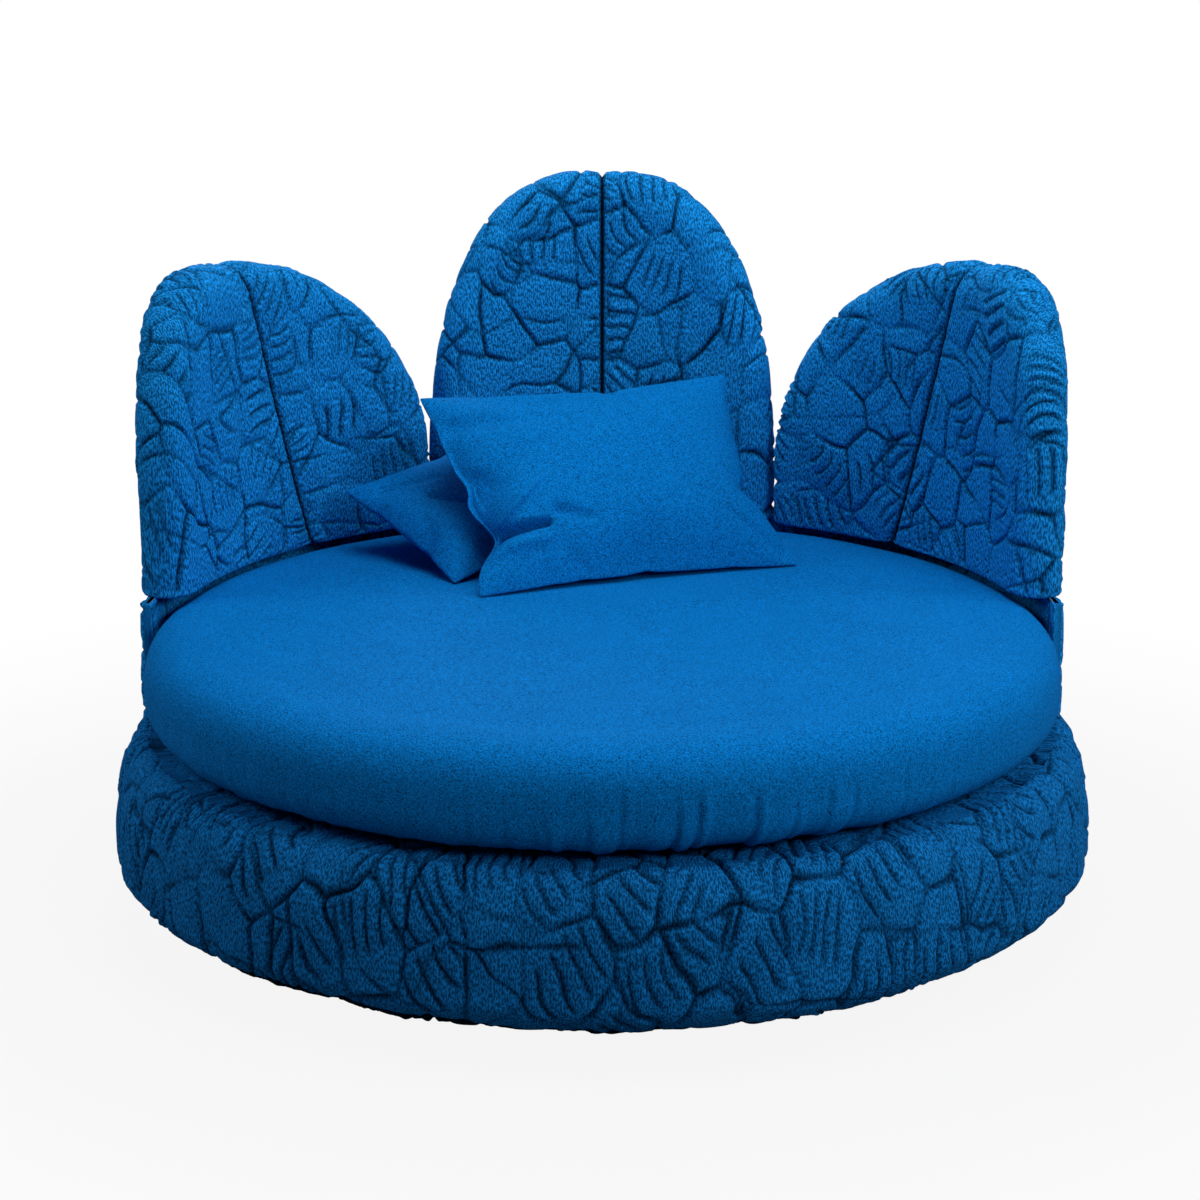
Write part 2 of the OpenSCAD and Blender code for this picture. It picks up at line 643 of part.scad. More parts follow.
module seat_foam() color(foam_cream) difference() {
    seat_body(seat_cloth_t + fit_gap);
    disc(seat_r + cut, seat_rim_z - topper_t, seat_h);
    ring_sector(90 - slot_half_a - band_end_a, 90 + slot_half_a + band_end_a,
        zip_floor_r - fit_gap, seat_r + cut, seat_z + zip_z - zip_slot_h / 2 - fit_gap,
        zip_slot_h + 2 * fit_gap);
}

module seat_topper() color(foam_cream) difference() {
    seat_body(seat_cloth_t + fit_gap);
    disc(seat_r + cut, -cut, seat_rim_z - topper_t + fit_gap + cut);
}

module seat_cover() color(cloth_blue) difference() {
    seat_body(0);
    seat_body(seat_cloth_t);
    disc(seat_mesh_r, -cut, seat_z + seat_wide_h + cut);
    zip_slot();
}

module seat_mesh() color(matt_black)
    disc(seat_mesh_r - fit_gap, seat_z, seat_cloth_t);

module seat_zip() color(cloth_blue) difference() {
    ring_sector(90 - zip_half_a - slider_a / 2, 90 + zip_half_a + slider_a / 2, zip_floor_r,
        zip_floor_r + zip_t, seat_z + zip_z - zip_slot_h / 2 + fit_gap, zip_slot_h - 2 * fit_gap);
    // The row of teeth stands between two grooves
    for (side = [-1, 1]) ring_sector(0, 180, zip_floor_r + zip_t / 2, zip_floor_r + 2 * zip_t,
        seat_z + zip_z + side * zip_slot_h / 4 - fit_gap, 2 * fit_gap);
}

// The slider closes the zip at its right end
module seat_zip_slider() color(steel_grey) difference() {
    ring_sector(90 - zip_half_a - slider_a / 2, 90 - zip_half_a + slider_a / 2,
        zip_floor_r + zip_t + fit_gap, zip_floor_r + zip_t + slider_t, seat_z + zip_z
        - zip_slot_h / 3, zip_slot_h * 2 / 3);
    rotate([0, 0, 90 - zip_half_a]) translate([zip_floor_r, 0, seat_z + zip_z])
        rotate([0, 90, 0]) cylinder(d = zip_slot_h / 4, h = zip_slot_d + cut);
}

// The scatter pillows

function pillow_share(k, n) = sin(90 * (k - n) / n);
function pillow_puff(x, y) = pow((1 - x * x) * (1 - y * y), 0.6);

// Points of a pillow lying flat, s inside its outer face
function pillow_grid(w, h, t, s, side) = [for (i = [0:2 * pillow_columns], j = [0:2 * pillow_rows])
    let (x = pillow_share(i, pillow_columns), y = pillow_share(j, pillow_rows))
    [x * (w / 2 - s - pillow_draw * (1 - y * y)), y * (h / 2 - s - pillow_draw * (1 - x * x)),
        side * (pillow_edge_h - s + (t / 2 - pillow_edge_h) * pillow_puff(x, y))]];
function pillow_points(w, h, t, s) = concat(pillow_grid(w, h, t, s, -1), pillow_grid(w, h, t, s, 1));

// Height of a pillow's point once it leans back
function leaned_z(q, lean, roll) = (q[0] * sin(roll) + q[1] * cos(roll)) * cos(lean)
    + q[2] * sin(lean);
function pillow_z(points, lean, roll) = seat_top_z + fit_gap
    - min([for (q = points) leaned_z(q, lean, roll)]);

module pillow(w, h, t, s, place, yaw, lean, roll) {
    z = pillow_z(pillow_points(w, h, t, 0), lean, roll);
    translate([place[0], place[1], z]) rotate([90 - lean, 0, yaw]) rotate([0, 0, roll])
        polyhedron(pillow_points(w, h, t, s),
            block_faces(2 * pillow_columns + 1, 2 * pillow_rows + 1), convexity = 4);
}
module front_pillow(s) pillow(front_w, front_h, front_t, s, [front_right, pad_front_r - front_ahead],
    front_yaw_a, front_lean_a, front_roll_a);
module rear_pillow(s) pillow(rear_w, rear_h, rear_t, s, [-rear_left, pad_front_r - rear_ahead],
    rear_yaw_a, rear_lean_a, rear_roll_a);

module front_pillow_cover() color(cloth_blue) difference() {
    front_pillow(0);
    front_pillow(pillow_cloth_t);
}
module front_pillow_filling() color(foam_cream) front_pillow(pillow_cloth_t + pillow_slack);
module rear_pillow_cover() color(cloth_blue) difference() {
    rear_pillow(0);
    rear_pillow(pillow_cloth_t);
}
module rear_pillow_filling() color(foam_cream) rear_pillow(pillow_cloth_t + pillow_slack);

// The left backrest is the right one mirrored
module left() mirror([1, 0, 0]) children();

floor_glides();
plinth_ring();
plinth_screws();
base_dust_cloth();
base_bottom_panel();
centre_post();
rib(1);  // rib_1
rib(2);  // rib_2
rib(3);  // rib_3
rib(4);  // rib_4
rib(5);  // rib_5
rib(6);  // rib_6
rib(7);  // rib_7
rib(8);  // rib_8
base_hoop();
deck_panel();
deck_screws();
base_foam_side();
base_foam_top();
base_cover();
deck_cloth();
shell_brackets();
bracket_bolts();
bracket_screws();
band_cover();
left() right_shell();  // left_shell
left() petal_foam_front(side_petal);  // left_foam_front
left() petal_foam_rear(side_petal);  // left_foam_rear
left() right_cover();  // left_cover
centre_shell();
petal_foam_front(centre_petal);  // centre_foam_front
petal_foam_rear(centre_petal);  // centre_foam_rear
centre_cover();
right_shell();
petal_foam_front(side_petal);  // right_foam_front
petal_foam_rear(side_petal);  // right_foam_rear
right_cover();
seat_foam();
seat_topper();
seat_cover();
seat_mesh();
seat_zip();
seat_zip_slider();
front_pillow_cover();
front_pillow_filling();
rear_pillow_cover();
rear_pillow_filling();
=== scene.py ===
# %% [markdown]
# # A round quilted daybed
# A drum base in crinkled quilting carries a thick round seat cushion. Three tall petal-shaped
# backrests stand round its rear half, and two scatter pillows lie on the seat.
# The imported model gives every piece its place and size. This lesson dresses it: it builds the
# quilted covers as dense meshes whose stitching is real relief, blows the pillows up with cloth
# simulation, and gives each cloth a procedural material.

# %% Load the frame
import json
import math
import bpy
import bmesh
import numpy as np
from mathutils import Matrix, Vector


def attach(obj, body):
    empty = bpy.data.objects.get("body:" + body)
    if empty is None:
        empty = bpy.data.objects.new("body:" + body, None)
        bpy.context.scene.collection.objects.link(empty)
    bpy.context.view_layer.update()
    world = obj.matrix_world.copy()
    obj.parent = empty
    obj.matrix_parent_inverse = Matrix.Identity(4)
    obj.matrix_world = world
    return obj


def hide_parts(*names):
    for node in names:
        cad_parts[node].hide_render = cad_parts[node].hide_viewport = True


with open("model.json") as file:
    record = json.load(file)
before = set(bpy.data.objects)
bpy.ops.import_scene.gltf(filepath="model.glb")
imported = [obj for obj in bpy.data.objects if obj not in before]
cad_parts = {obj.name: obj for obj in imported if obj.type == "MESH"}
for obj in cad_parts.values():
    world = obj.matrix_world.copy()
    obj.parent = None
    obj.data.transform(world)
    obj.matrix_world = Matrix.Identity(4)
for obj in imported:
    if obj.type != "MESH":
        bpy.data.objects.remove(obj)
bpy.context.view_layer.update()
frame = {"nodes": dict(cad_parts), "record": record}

# %% [markdown]
# ## The camera
# The photograph was taken from the front, a little above the seat, with a long lens. The base's
# ellipses give the tilt, and their change of width with height gives the distance, so the lens
# follows from the size of the image: 3174 pixels of focal length on a frame 1200 pixels wide.

# %% Camera
camera = bpy.data.objects.new("camera", bpy.data.cameras.new("camera"))
bpy.context.scene.collection.objects.link(camera)
TILT, FOCAL_PIXELS, FRAME_PIXELS, SENSOR = 14.86, 3174, 1200, 36
camera.location = (-0.004, -5.4, 1.968)
camera.rotation_euler = (math.radians(90 - TILT), 0, 0)
camera.data.sensor_width = SENSOR
camera.data.lens = FOCAL_PIXELS / FRAME_PIXELS * SENSOR
camera.data.clip_end = 200
bpy.context.scene.camera = camera

# %% [markdown]
# ## Floor, world and lamps
# A studio sweep is white because it is brighter than the object. Here a camera ray that meets the
# floor or the world sees white, while the lamps stay at a plain level, so the blue cloth keeps its
# colour. Round the daybed the floor lets some of its real shading through, which is the soft
# shadow; further off it fades to plain white. Other rays see a duller floor, so that the underside
# of the drum stays dark.
# One large lamp hangs over the seat. Smaller ones stand to both sides and, strongest, to the right
# front: the seat's right side is brighter than its left, and slanting light draws every crease of
# the quilting. One behind shows the backs, which the photograph doesn't.

# %% Floor and world
def new_material(name):
    """A material with an empty node tree."""
    material = bpy.data.materials.new(name)
    material.use_nodes = True
    material.node_tree.nodes.clear()
    return material


def add(tree, kind, *inputs, **values):
    """A shader node of that kind, its properties and inputs by name, or the inputs in order.

    An input takes a constant or another node's output.
    """
    node = tree.nodes.new("ShaderNode" + kind)
    for name in [name for name in values if hasattr(node, name)]:
        setattr(node, name, values.pop(name))
    pairs = list(zip(node.inputs, inputs))
    pairs += [(node.inputs[name.replace("_", " ")], value) for name, value in values.items()]
    for socket, value in pairs:
        if isinstance(value, bpy.types.NodeSocket):
            tree.links.new(value, socket)
        else:
            socket.default_value = value
    return node


scene = bpy.context.scene
scene.view_settings.view_transform = "Standard"

floor_mesh = bpy.data.meshes.new("floor")
bm = bmesh.new()
bmesh.ops.create_circle(bm, cap_ends=True, segments=96, radius=40)
bm.to_mesh(floor_mesh)
bm.free()
floor = bpy.data.objects.new("floor", floor_mesh)
scene.collection.objects.link(floor)

material = new_material("white sweep")
tree = material.node_tree
paper = add(tree, "BsdfDiffuse", Color=(0.3, 0.305, 0.31, 1))
glow = add(tree, "Emission", Color=(1, 1, 1, 1), Strength=1.0)
place = add(tree, "TexCoord").outputs["Object"]
reach = add(tree, "VectorMath", place, operation="LENGTH").outputs["Value"]
fade = add(tree, "MapRange", reach, From_Min=0.9, From_Max=2.4, To_Min=0.9, To_Max=1.0,
           interpolation_type="SMOOTHSTEP").outputs["Result"]
ray = add(tree, "LightPath").outputs["Is Camera Ray"]
share = add(tree, "Math", ray, fade, operation="MULTIPLY").outputs[0]
both = add(tree, "MixShader", share, paper.outputs[0], glow.outputs[0])
add(tree, "OutputMaterial", both.outputs[0])
floor_mesh.materials.append(material)

world = bpy.data.worlds.new("studio")
scene.world = world
world.use_nodes = True
tree = world.node_tree
tree.nodes.clear()
room = add(tree, "Background", Color=(0.9, 0.95, 1, 1), Strength=0.06)
white = add(tree, "Background", Color=(1, 1, 1, 1), Strength=1.0)
ray = add(tree, "LightPath").outputs["Is Camera Ray"]
both = add(tree, "MixShader", ray, room.outputs[0], white.outputs[0])
add(tree, "OutputWorld", both.outputs[0])

# %% Lamps
def area_lamp(name, place, aim, size, power):
    """A square soft lamp at a place, turned towards a point."""
    light = bpy.data.lights.new(name, "AREA")
    light.size, light.energy = size, power
    lamp = bpy.data.objects.new(name, light)
    lamp.location = place
    lamp.rotation_euler = (Vector(aim) - Vector(place)).to_track_quat("-Z", "Y").to_euler()
    scene.collection.objects.link(lamp)


area_lamp("overhead", (0.2, -0.1, 3.4), (0, 0, 0.4), 2.2, 62)
area_lamp("right", (3.4, -0.2, 2.6), (0, 0, 0.4), 1.4, 41)
area_lamp("right front", (3.0, -3.4, 2.8), (0, 0.2, 0.7), 1.4, 82)
area_lamp("back", (-0.8, 3.8, 2.6), (0, 0, 0.6), 1.6, 60)
area_lamp("left", (-3.4, -0.2, 2.6), (0, 0, 0.4), 1.6, 45)

# %% [markdown]
# ## Stitching as relief
# The covers are quilted by a machine that sews an irregular crackle: shards of cloth edged by
# stitched grooves, and inside many shards a fan of parallel lines. A texture could fake it, but the
# grooves bend the outline and catch the light, so here they move the vertices of a fine mesh.
# The pattern is drawn in the cloth's own flat coordinates, in metres. Every shard is a cell round a
# random seed point; its border is where another seed is as near.

# %% Random fields
table = np.random.default_rng(20).random((7, 512, 512))


def lookup(layer, i, j, wrap):
    """The random number of a lattice point; i repeats after wrap steps, as on a closed ring."""
    return table[layer, (i % wrap) % 512, j % 512]


def noise(x, y, layer=0, wrap=512):
    """Smooth noise between -1 and 1 with a bump every unit."""
    i, j = np.floor(x).astype(int), np.floor(y).astype(int)
    s, t = x - i, y - j
    s, t = s * s * (3 - 2 * s), t * t * (3 - 2 * t)
    low = lookup(layer, i, j, wrap) * (1 - s) + lookup(layer, i + 1, j, wrap) * s
    high = lookup(layer, i, j + 1, wrap) * (1 - s) + lookup(layer, i + 1, j + 1, wrap) * s
    return 2 * (low * (1 - t) + high * t) - 1


def shards(x, y, wrap=512, layer=0):
    """Cells one unit wide: each point's cell, the way from its seed, the distance to the border."""
    i, j = np.floor(x).astype(int), np.floor(y).astype(int)
    near = np.full(x.shape, 9.0)
    cell_i, cell_j = i.copy(), j.copy()
    seed_x, seed_y = x.copy(), y.copy()
    spots = []
    for a, b in ((a, b) for a in range(-2, 3) for b in range(-2, 3)):
        sx = i + a + 0.1 + 0.8 * lookup(layer, i + a, j + b, wrap)
        sy = j + b + 0.1 + 0.8 * lookup(layer + 1, i + a, j + b, wrap)
        spots.append((sx, sy))
        away = np.hypot(sx - x, sy - y)
        hit = away < near
        near = np.where(hit, away, near)
        cell_i, cell_j = np.where(hit, i + a, cell_i), np.where(hit, j + b, cell_j)
        seed_x, seed_y = np.where(hit, sx, seed_x), np.where(hit, sy, seed_y)
    border = np.full(x.shape, 9.0)
    for sx, sy in spots:
        dx, dy = sx - seed_x, sy - seed_y
        apart = np.hypot(dx, dy)
        across = ((seed_x + sx) / 2 - x) * dx + ((seed_y + sy) / 2 - y) * dy
        far = np.where(apart > 1e-6, across / np.maximum(apart, 1e-6), 9.0)
        border = np.minimum(border, far)
    return cell_i, cell_j, x - seed_x, y - seed_y, border


# %% Quilting
# The grooves' half widths and depth, a shard's rise, and the swellings beside a border and a gill
BORDER_WIDE, GILL_WIDE, CHORD_WIDE, SINK = 0.0040, 0.0034, 0.0040, 0.0062
SWELL, SWELL_REACH = 0.0034, 0.018
LIP, LIP_AT, LIP_WIDE = 0.0011, 0.009, 0.0045
FOLD, FOLD_AT, FOLD_WIDE = 0.0024, 0.0065, 0.0048
# How far apart the gills lie, and the other measures of the pattern
GILL_STEP, GILL_STEP_MORE, LOOSE_STEP, LEVEL, TALL = 0.019, 0.012, 0.042, 0.0022, 1.6


def groove(distance, width):
    """Depth share of a stitched groove: full on the line, gone two widths away."""
    return np.exp(-(distance / width) ** 2)


def rise(value, start, width):
    """Goes from 0 to 1 as the value goes on from start by a width."""
    return np.clip((value - start) / width, 0, 1)


def fall(value, end, width):
    """Goes from 1 to 0 as the value comes up to end over a width."""
    return np.clip((end - value) / width, 0, 1)


def ring_cells(size, ring):
    """(cells, width) of a lattice about size wide; on a closed ring an even number fits."""
    if ring is None:
        return 512, size
    cells = max(4, 2 * round(ring / size / 2))
    return cells, ring / cells


def quilting(u, v, size, ring=None, upright=False, gilled=0.45, crumple=0.0006):
    """(height in metres, crease share) of the stitching at a place in the flat cloth.

    size is the width of a shard and ring the cloth's length round a closed ring, if it is one.
    upright makes the shards tall and their parallel lines, the gills, nearly upright. gilled is the
    share of shards that have any, and crumple the depth of the small loose creases.
    """
    cells, step = ring_cells(size, ring)
    half_u, half_v = u / step * 2, v / step * 2
    x = u / step + 0.08 * noise(half_u, half_v, 5, cells * 2)
    y = v / (step * (TALL if upright else 1)) + 0.08 * noise(half_u, half_v, 6, cells * 2)
    ci, cj, dx, dy, border = shards(x, y, cells)
    kind, spin, pick = (lookup(layer, ci, cj, cells) for layer in (2, 3, 4))
    strong = np.clip(0.62 + 0.75 * noise(x * 2, y * 2, 4, cells * 2), 0.12, 1)
    crease = strong * groove(border * step, BORDER_WIDE)
    # A few short parallel stitches, straight or bowed, near the middle of some shards
    turn = np.where(pick > 0.5, 1, -1) * (0.2 + 0.75 * spin) if upright else 2 * math.pi * spin
    pitch = (GILL_STEP + GILL_STEP_MORE * pick) / step
    along = dx * np.cos(turn) + dy * np.sin(turn)
    side = -dx * np.sin(turn) + dy * np.cos(turn)
    bow = 0.9 + 0.9 * spin
    bowed = np.hypot(along - bow, side) - bow
    level = np.where(pick < 0.3, along, bowed)
    signed = ((level / pitch) % 1 - 0.5) * pitch * step
    few = np.clip((1.4 + 2.2 * pick - np.abs(level) / pitch) * 4, 0, 1)
    ends = fall(np.abs(side + 0.12 * (spin - 0.5)), 0.36, 0.12)
    gills = (kind < gilled) * few * ends * (0.55 + 0.45 * pick)
    crease = np.maximum(crease, gills * groove(signed, GILL_WIDE))
    # Long faint chords cross several shards, most of them slanting
    chord_cells = cells // 2 if ring else 512
    chord = shards(x * 0.5 + 0.35 * y + 0.3, y * 0.85 + 0.7, chord_cells, 3)[4] * 1.6
    faint = np.clip(0.45 + 0.8 * noise(x * 2 + 9, y * 2, 3, cells * 2), 0, 0.9)
    crease = np.maximum(crease, faint * groove(chord * step, CHORD_WIDE))
    # Each gill is a small fold: its cloth stands up on one side and runs out on the other
    fold = gills * groove(signed - FOLD_AT, FOLD_WIDE)
    lip = groove(border * step - LIP_AT, LIP_WIDE)
    height = SWELL * (1 - np.exp(-border * step / SWELL_REACH)) + LIP * lip * strong
    height += FOLD * fold
    # Loose creases run mostly upright
    count, width = ring_cells(LOOSE_STEP, ring)
    loose = noise(u / width, v / (width * 1.9), 6, count)
    height -= crumple * groove(loose, 0.22) - crumple * 0.7 * noise(
        u / width * 2, v / width, 5, count * 2)
    return height - SINK * crease - LEVEL, crease


def puffed(u, v, size, ring=None):
    """Slow swelling of the padding between -1 and 1."""
    count, step = ring_cells(size, ring)
    return (0.65 * noise(u / step, v / step, 2, count)
            + 0.35 * noise(u / step * 2, v / step * 2, 3, count * 2))


# %% Mesh helpers
def values_of(items, key, kind=float, size=1):
    """One property of every item as an array."""
    flat = np.empty(len(items) * size, dtype=kind)
    items.foreach_get(key, flat)
    return flat


def coordinates(mesh):
    """The mesh's vertices as an array."""
    return values_of(mesh.vertices, "co", size=3).reshape(-1, 3)


def normals(mesh):
    """The vertex normals as an array."""
    return values_of(mesh.vertices, "normal", size=3).reshape(-1, 3)


def round_z(points):
    """Radius and azimuth of points, and the degrees from the front, where right is positive."""
    azimuth = np.arctan2(points[:, 1], points[:, 0])
    radius = np.hypot(points[:, 0], points[:, 1])
    return radius, azimuth, (np.degrees(azimuth) + 270) % 360 - 180


def move_to(mesh, points):
    """Moves the vertices to new places."""
    mesh.vertices.foreach_set("co", np.ascontiguousarray(points).ravel())
    mesh.update()


def give_uv(mesh, u, v, ring=None, behind=None):
    """A UV map in metres of cloth from a value per vertex.

    ring is the length of a closed ring. behind gives (share, u, v) for faces on the back: those
    with a share above a half take the other coordinates.
    """
    corner = values_of(mesh.loops, "vertex_index", np.int64)
    start = values_of(mesh.polygons, "loop_start", np.int64)
    total = values_of(mesh.polygons, "loop_total", np.int64)
    cu, cv = u[corner], v[corner]
    if ring is not None:
        highest = np.repeat(np.maximum.reduceat(cu, start), total)
        cu = np.where(highest - cu > ring / 2, cu + ring, cu)
    if behind is not None:
        back = np.repeat(np.maximum.reduceat(behind[0][corner], start), total) > 0.5
        cu, cv = np.where(back, behind[1][corner], cu), np.where(back, behind[2][corner], cv)
    layer = mesh.uv_layers.new(name="cloth")
    layer.data.foreach_set("uv", np.stack([cu, cv], 1).ravel())


def give_value(mesh, name, values):
    """A number per vertex that a material can read."""
    mesh.attributes.new(name, "FLOAT", "POINT").data.foreach_set("value", values.astype(np.float32))


def finish_piece(name, mesh, body, material, nodes):
    """Puts a mesh in the scene as a piece of the daybed that stands for some CAD nodes."""
    mesh.polygons.foreach_set("use_smooth", np.ones(len(mesh.polygons), dtype=bool))
    piece = bpy.data.objects.new(name, mesh)
    scene.collection.objects.link(piece)
    mesh.materials.append(material)
    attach(piece, body)
    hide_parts(*nodes)
    print(name, len(mesh.polygons), "faces")


# %% [markdown]
# ## Cloth materials
# All the cloth is one saturated blue, but the quilted cloth of the backrests and band is painted
# lighter for the fuller light they stand in, and the drum's copy darker as painted shade. The
# quilted covers are a ribbed knit: fine upright cords a few millimetres apart, each a chain of
# short loops, with the shade between the loops and in the stitched creases painted into the colour.
# The seat and pillows are a smooth boucle, which reads as a dense grain of lighter and darker
# loops. Each is a node group that puts out a colour and a height; the shader and its bump stay in
# the material.

# %% Node groups
CORD_PITCH, LOOP_SIZE = 0.0042, 0.0029


def new_group(name, numbers):
    """A group that turns Vector, Color and numbers with defaults into Color and Height."""
    group = bpy.data.node_groups.new(name, "ShaderNodeTree")
    for key, way, kind in (("Vector", "INPUT", "Vector"), ("Color", "INPUT", "Color"),
                           *((key, "INPUT", "Float") for key in numbers),
                           ("Color", "OUTPUT", "Color"), ("Height", "OUTPUT", "Float")):
        socket = group.interface.new_socket(key, in_out=way, socket_type="NodeSocket" + kind)
        if key in numbers:
            socket.default_value = numbers[key]
    given, result = group.nodes.new("NodeGroupInput"), group.nodes.new("NodeGroupOutput")
    return group, given.outputs, result.inputs


def math_node(tree, operation, *inputs):
    """The output of a Math node."""
    return add(tree, "Math", *inputs, operation=operation).outputs[0]


def waves(tree, value, count):
    """The sine of a value, that many times as fast."""
    return math_node(tree, "SINE", math_node(tree, "MULTIPLY", value, count))


def axes(tree, vector):
    """The parts of a vector along the axes, as outputs named X, Y and Z."""
    return add(tree, "SeparateXYZ", vector).outputs


def noise_at(tree, place, scale, detail=3.0):
    """Noise at a place, as fine as scale; three numbers stretch it along the axes."""
    if not isinstance(scale, float):
        place = add(tree, "Mapping", place, Scale=scale).outputs[0]
        scale = 1.0
    return add(tree, "TexNoise", Vector=place, Scale=scale, Detail=detail).outputs[0]


def put_out(group, given, result, tone, height):
    """Ends a group: it gives its colour times a tone, and a height."""
    shaded = add(group, "VectorMath", given["Color"], Scale=tone, operation="SCALE")
    group.links.new(shaded.outputs[0], result["Color"])
    group.links.new(height, result["Height"])
    return group


def ribbed_knit():
    """Upright cords of short loops, from a vector whose x runs across the cords, in metres."""
    group, given, result = new_group("ribbed knit", {"Pitch": CORD_PITCH, "Crease Shade": 0.0})
    place = given["Vector"]
    across = math_node(group, "DIVIDE", axes(group, place)["X"], given["Pitch"])
    across = math_node(group, "MULTIPLY_ADD", noise_at(group, place, 55.0, 2.0), 1.1, across)
    # The loops show as short dark upright dashes between the cords, no two alike: each is a loop's
    # shadow, painted into the colour as well as raised as relief
    fibre = noise_at(group, place, (310, 140, 1), 1.0)
    fibre = math_node(group, "MULTIPLY_ADD", waves(group, across, 2 * math.pi), 0.035, fibre)
    dash = add(group, "MapRange", fibre, From_Min=0.36, From_Max=0.62,
               interpolation_type="SMOOTHSTEP").outputs[0]
    height = math_node(group, "MULTIPLY_ADD", noise_at(group, place, 70.0, 2.0), 1.6, dash)
    # Between the loops and deep in the stitching the cloth is painted darker as shade
    tone = math_node(group, "MULTIPLY_ADD", dash, 0.98, 0.43)
    painted_crease_shade = math_node(group, "ADD", math_node(group, "MULTIPLY", given["Crease Shade"], -0.92), 1.0)
    tone = math_node(group, "MULTIPLY", tone, math_node(group, "MAXIMUM", painted_crease_shade, 0.04))
    return put_out(group, given, result, tone, height)


def fine_boucle():
    """A dense grain of tiny loops, the same in every direction."""
    group, given, result = new_group("fine boucle", {"Size": LOOP_SIZE})
    place = given["Vector"]
    scale = math_node(group, "DIVIDE", 1.0, given["Size"])
    grain = add(group, "TexNoise", Vector=place, Scale=scale, Detail=3.0,
                Roughness=0.62).outputs[0]
    loops = add(group, "TexVoronoi", Vector=place,
                Scale=math_node(group, "MULTIPLY", scale, 1.15)).outputs["Distance"]
    height = math_node(group, "MULTIPLY_ADD", loops, -0.6,
                       math_node(group, "MULTIPLY", grain, 1.6))
    patch = math_node(group, "MULTIPLY_ADD", noise_at(group, place, 9.0), 0.16, 0.92)
    tone = math_node(group, "MULTIPLY_ADD", height, 1.6, 0.14)
    tone = math_node(group, "MULTIPLY", math_node(group, "MAXIMUM", tone, 0.2), patch)
    return put_out(group, given, result, tone, height)


knit_group, boucle_group = ribbed_knit(), fine_boucle()

# %% Cloth
# The quilted cloth is one blue: the copy for the backrests and band is painted lighter as the
# fuller light they stand in, the drum's copy darker as painted shade
BACKREST_BLUE_PAINTED_LIGHT = (0.0056, 0.204, 0.58, 1)
DRUM_BLUE_PAINTED_SHADE = (0.0040, 0.136, 0.410, 1)
CLOTH_BLUE = (0.0010, 0.153, 0.482, 1)


def cloth_material(name, group, colour, bump, coordinates_from, crease_shade_from=None):
    """A cloth shader round one of the groups, with a soft sheen for its fibres.

    The vertex value named by the last argument darkens the creases as painted shade.
    """
    material = new_material(name)
    tree = material.node_tree
    place = add(tree, "TexCoord").outputs[coordinates_from]
    pattern = add(tree, "Group", node_tree=group, Vector=place, Color=colour)
    if crease_shade_from:
        read = add(tree, "Attribute", attribute_name=crease_shade_from)
        tree.links.new(read.outputs["Fac"], pattern.inputs["Crease Shade"])
    relief = add(tree, "Bump", Strength=bump, Distance=0.0016,
                 Height=pattern.outputs["Height"])
    cloth = add(tree, "BsdfPrincipled", Base_Color=pattern.outputs["Color"],
                Normal=relief.outputs[0], Roughness=0.9, Specular_IOR_Level=0.03,
                Sheen_Weight=0.02, Sheen_Roughness=0.45, Sheen_Tint=(0.01, 0.4, 1, 1))
    add(tree, "OutputMaterial", cloth.outputs[0])
    return material


# The band and backrests take the copy painted lighter as light, the drum the copy painted darker as
# shade
quilted = cloth_material("quilted ribbed knit", knit_group, BACKREST_BLUE_PAINTED_LIGHT, 0.75, "UV", "groove")
drum_quilted_painted_shade = cloth_material("quilted ribbed knit of the drum, painted darker as shade", knit_group, DRUM_BLUE_PAINTED_SHADE, 0.75, "UV",
                              "groove")
smooth_cloth = cloth_material("fine boucle cloth", boucle_group, CLOTH_BLUE, 0.55, "Object")

# %% [markdown]
# ## The base cover
# The drum's cover is a body of revolution. A spin in 1300 fine steps is slow, so a flat grid is
# rolled into the round: its columns go round the axis and its rows follow the half section. The
# section has the same two curves as the CAD: a bulging skirt below the widest line and a full
# shoulder above it. The stitching then sinks in, and the padding swells between the grooves.

# %% Base cover
BASE_R, WIDE_Z, FOOT_R, FOOT_Z = 0.860, 0.111, 0.691, 0.020
SHOULDER_R, BASE_TOP, TOP_IN_R = 0.783, 0.321, 0.6505
SKIRT_BULGE, SHOULDER_BULGE = 1.53, 2.69
BASE_SHARD, PETAL_SHARD, BAND_SHARD = 0.105, 0.112, 0.10


def curve(r, end_r, z, end_z, bulge):
    """Points of a section from its widest place to where a rounded edge has drawn in."""
    t = np.sin(np.linspace(0, math.pi / 2, 60))
    drawn_in = 1 - np.clip(1 - t ** bulge, 0, 1) ** (1 / bulge)
    return np.stack([r - (r - end_r) * drawn_in, z + (end_z - z) * t], 1)


def lengths_along(line):
    """The distance of each point of a line from its start, along the line."""
    return np.concatenate([[0], np.cumsum(np.hypot(*np.diff(line, axis=0).T))])


def even_steps(line, step=None, count=None):
    """Points a step apart along a line of points, or that many equal steps."""
    line = np.asarray(line, float)
    lengths = lengths_along(line)
    count = count or max(2, int(round(lengths[-1] / step)))
    wanted = np.linspace(0, lengths[-1], count + 1)
    return np.stack([np.interp(wanted, lengths, line[:, k]) for k in (0, 1)], 1)


def mesh_of(bm, name, outward=True):
    """The bmesh as a mesh, its faces turned outward unless it is flat."""
    if outward:
        bmesh.ops.recalc_face_normals(bm, faces=bm.faces)
    mesh = bpy.data.meshes.new(name)
    bm.to_mesh(mesh)
    bm.free()
    return mesh


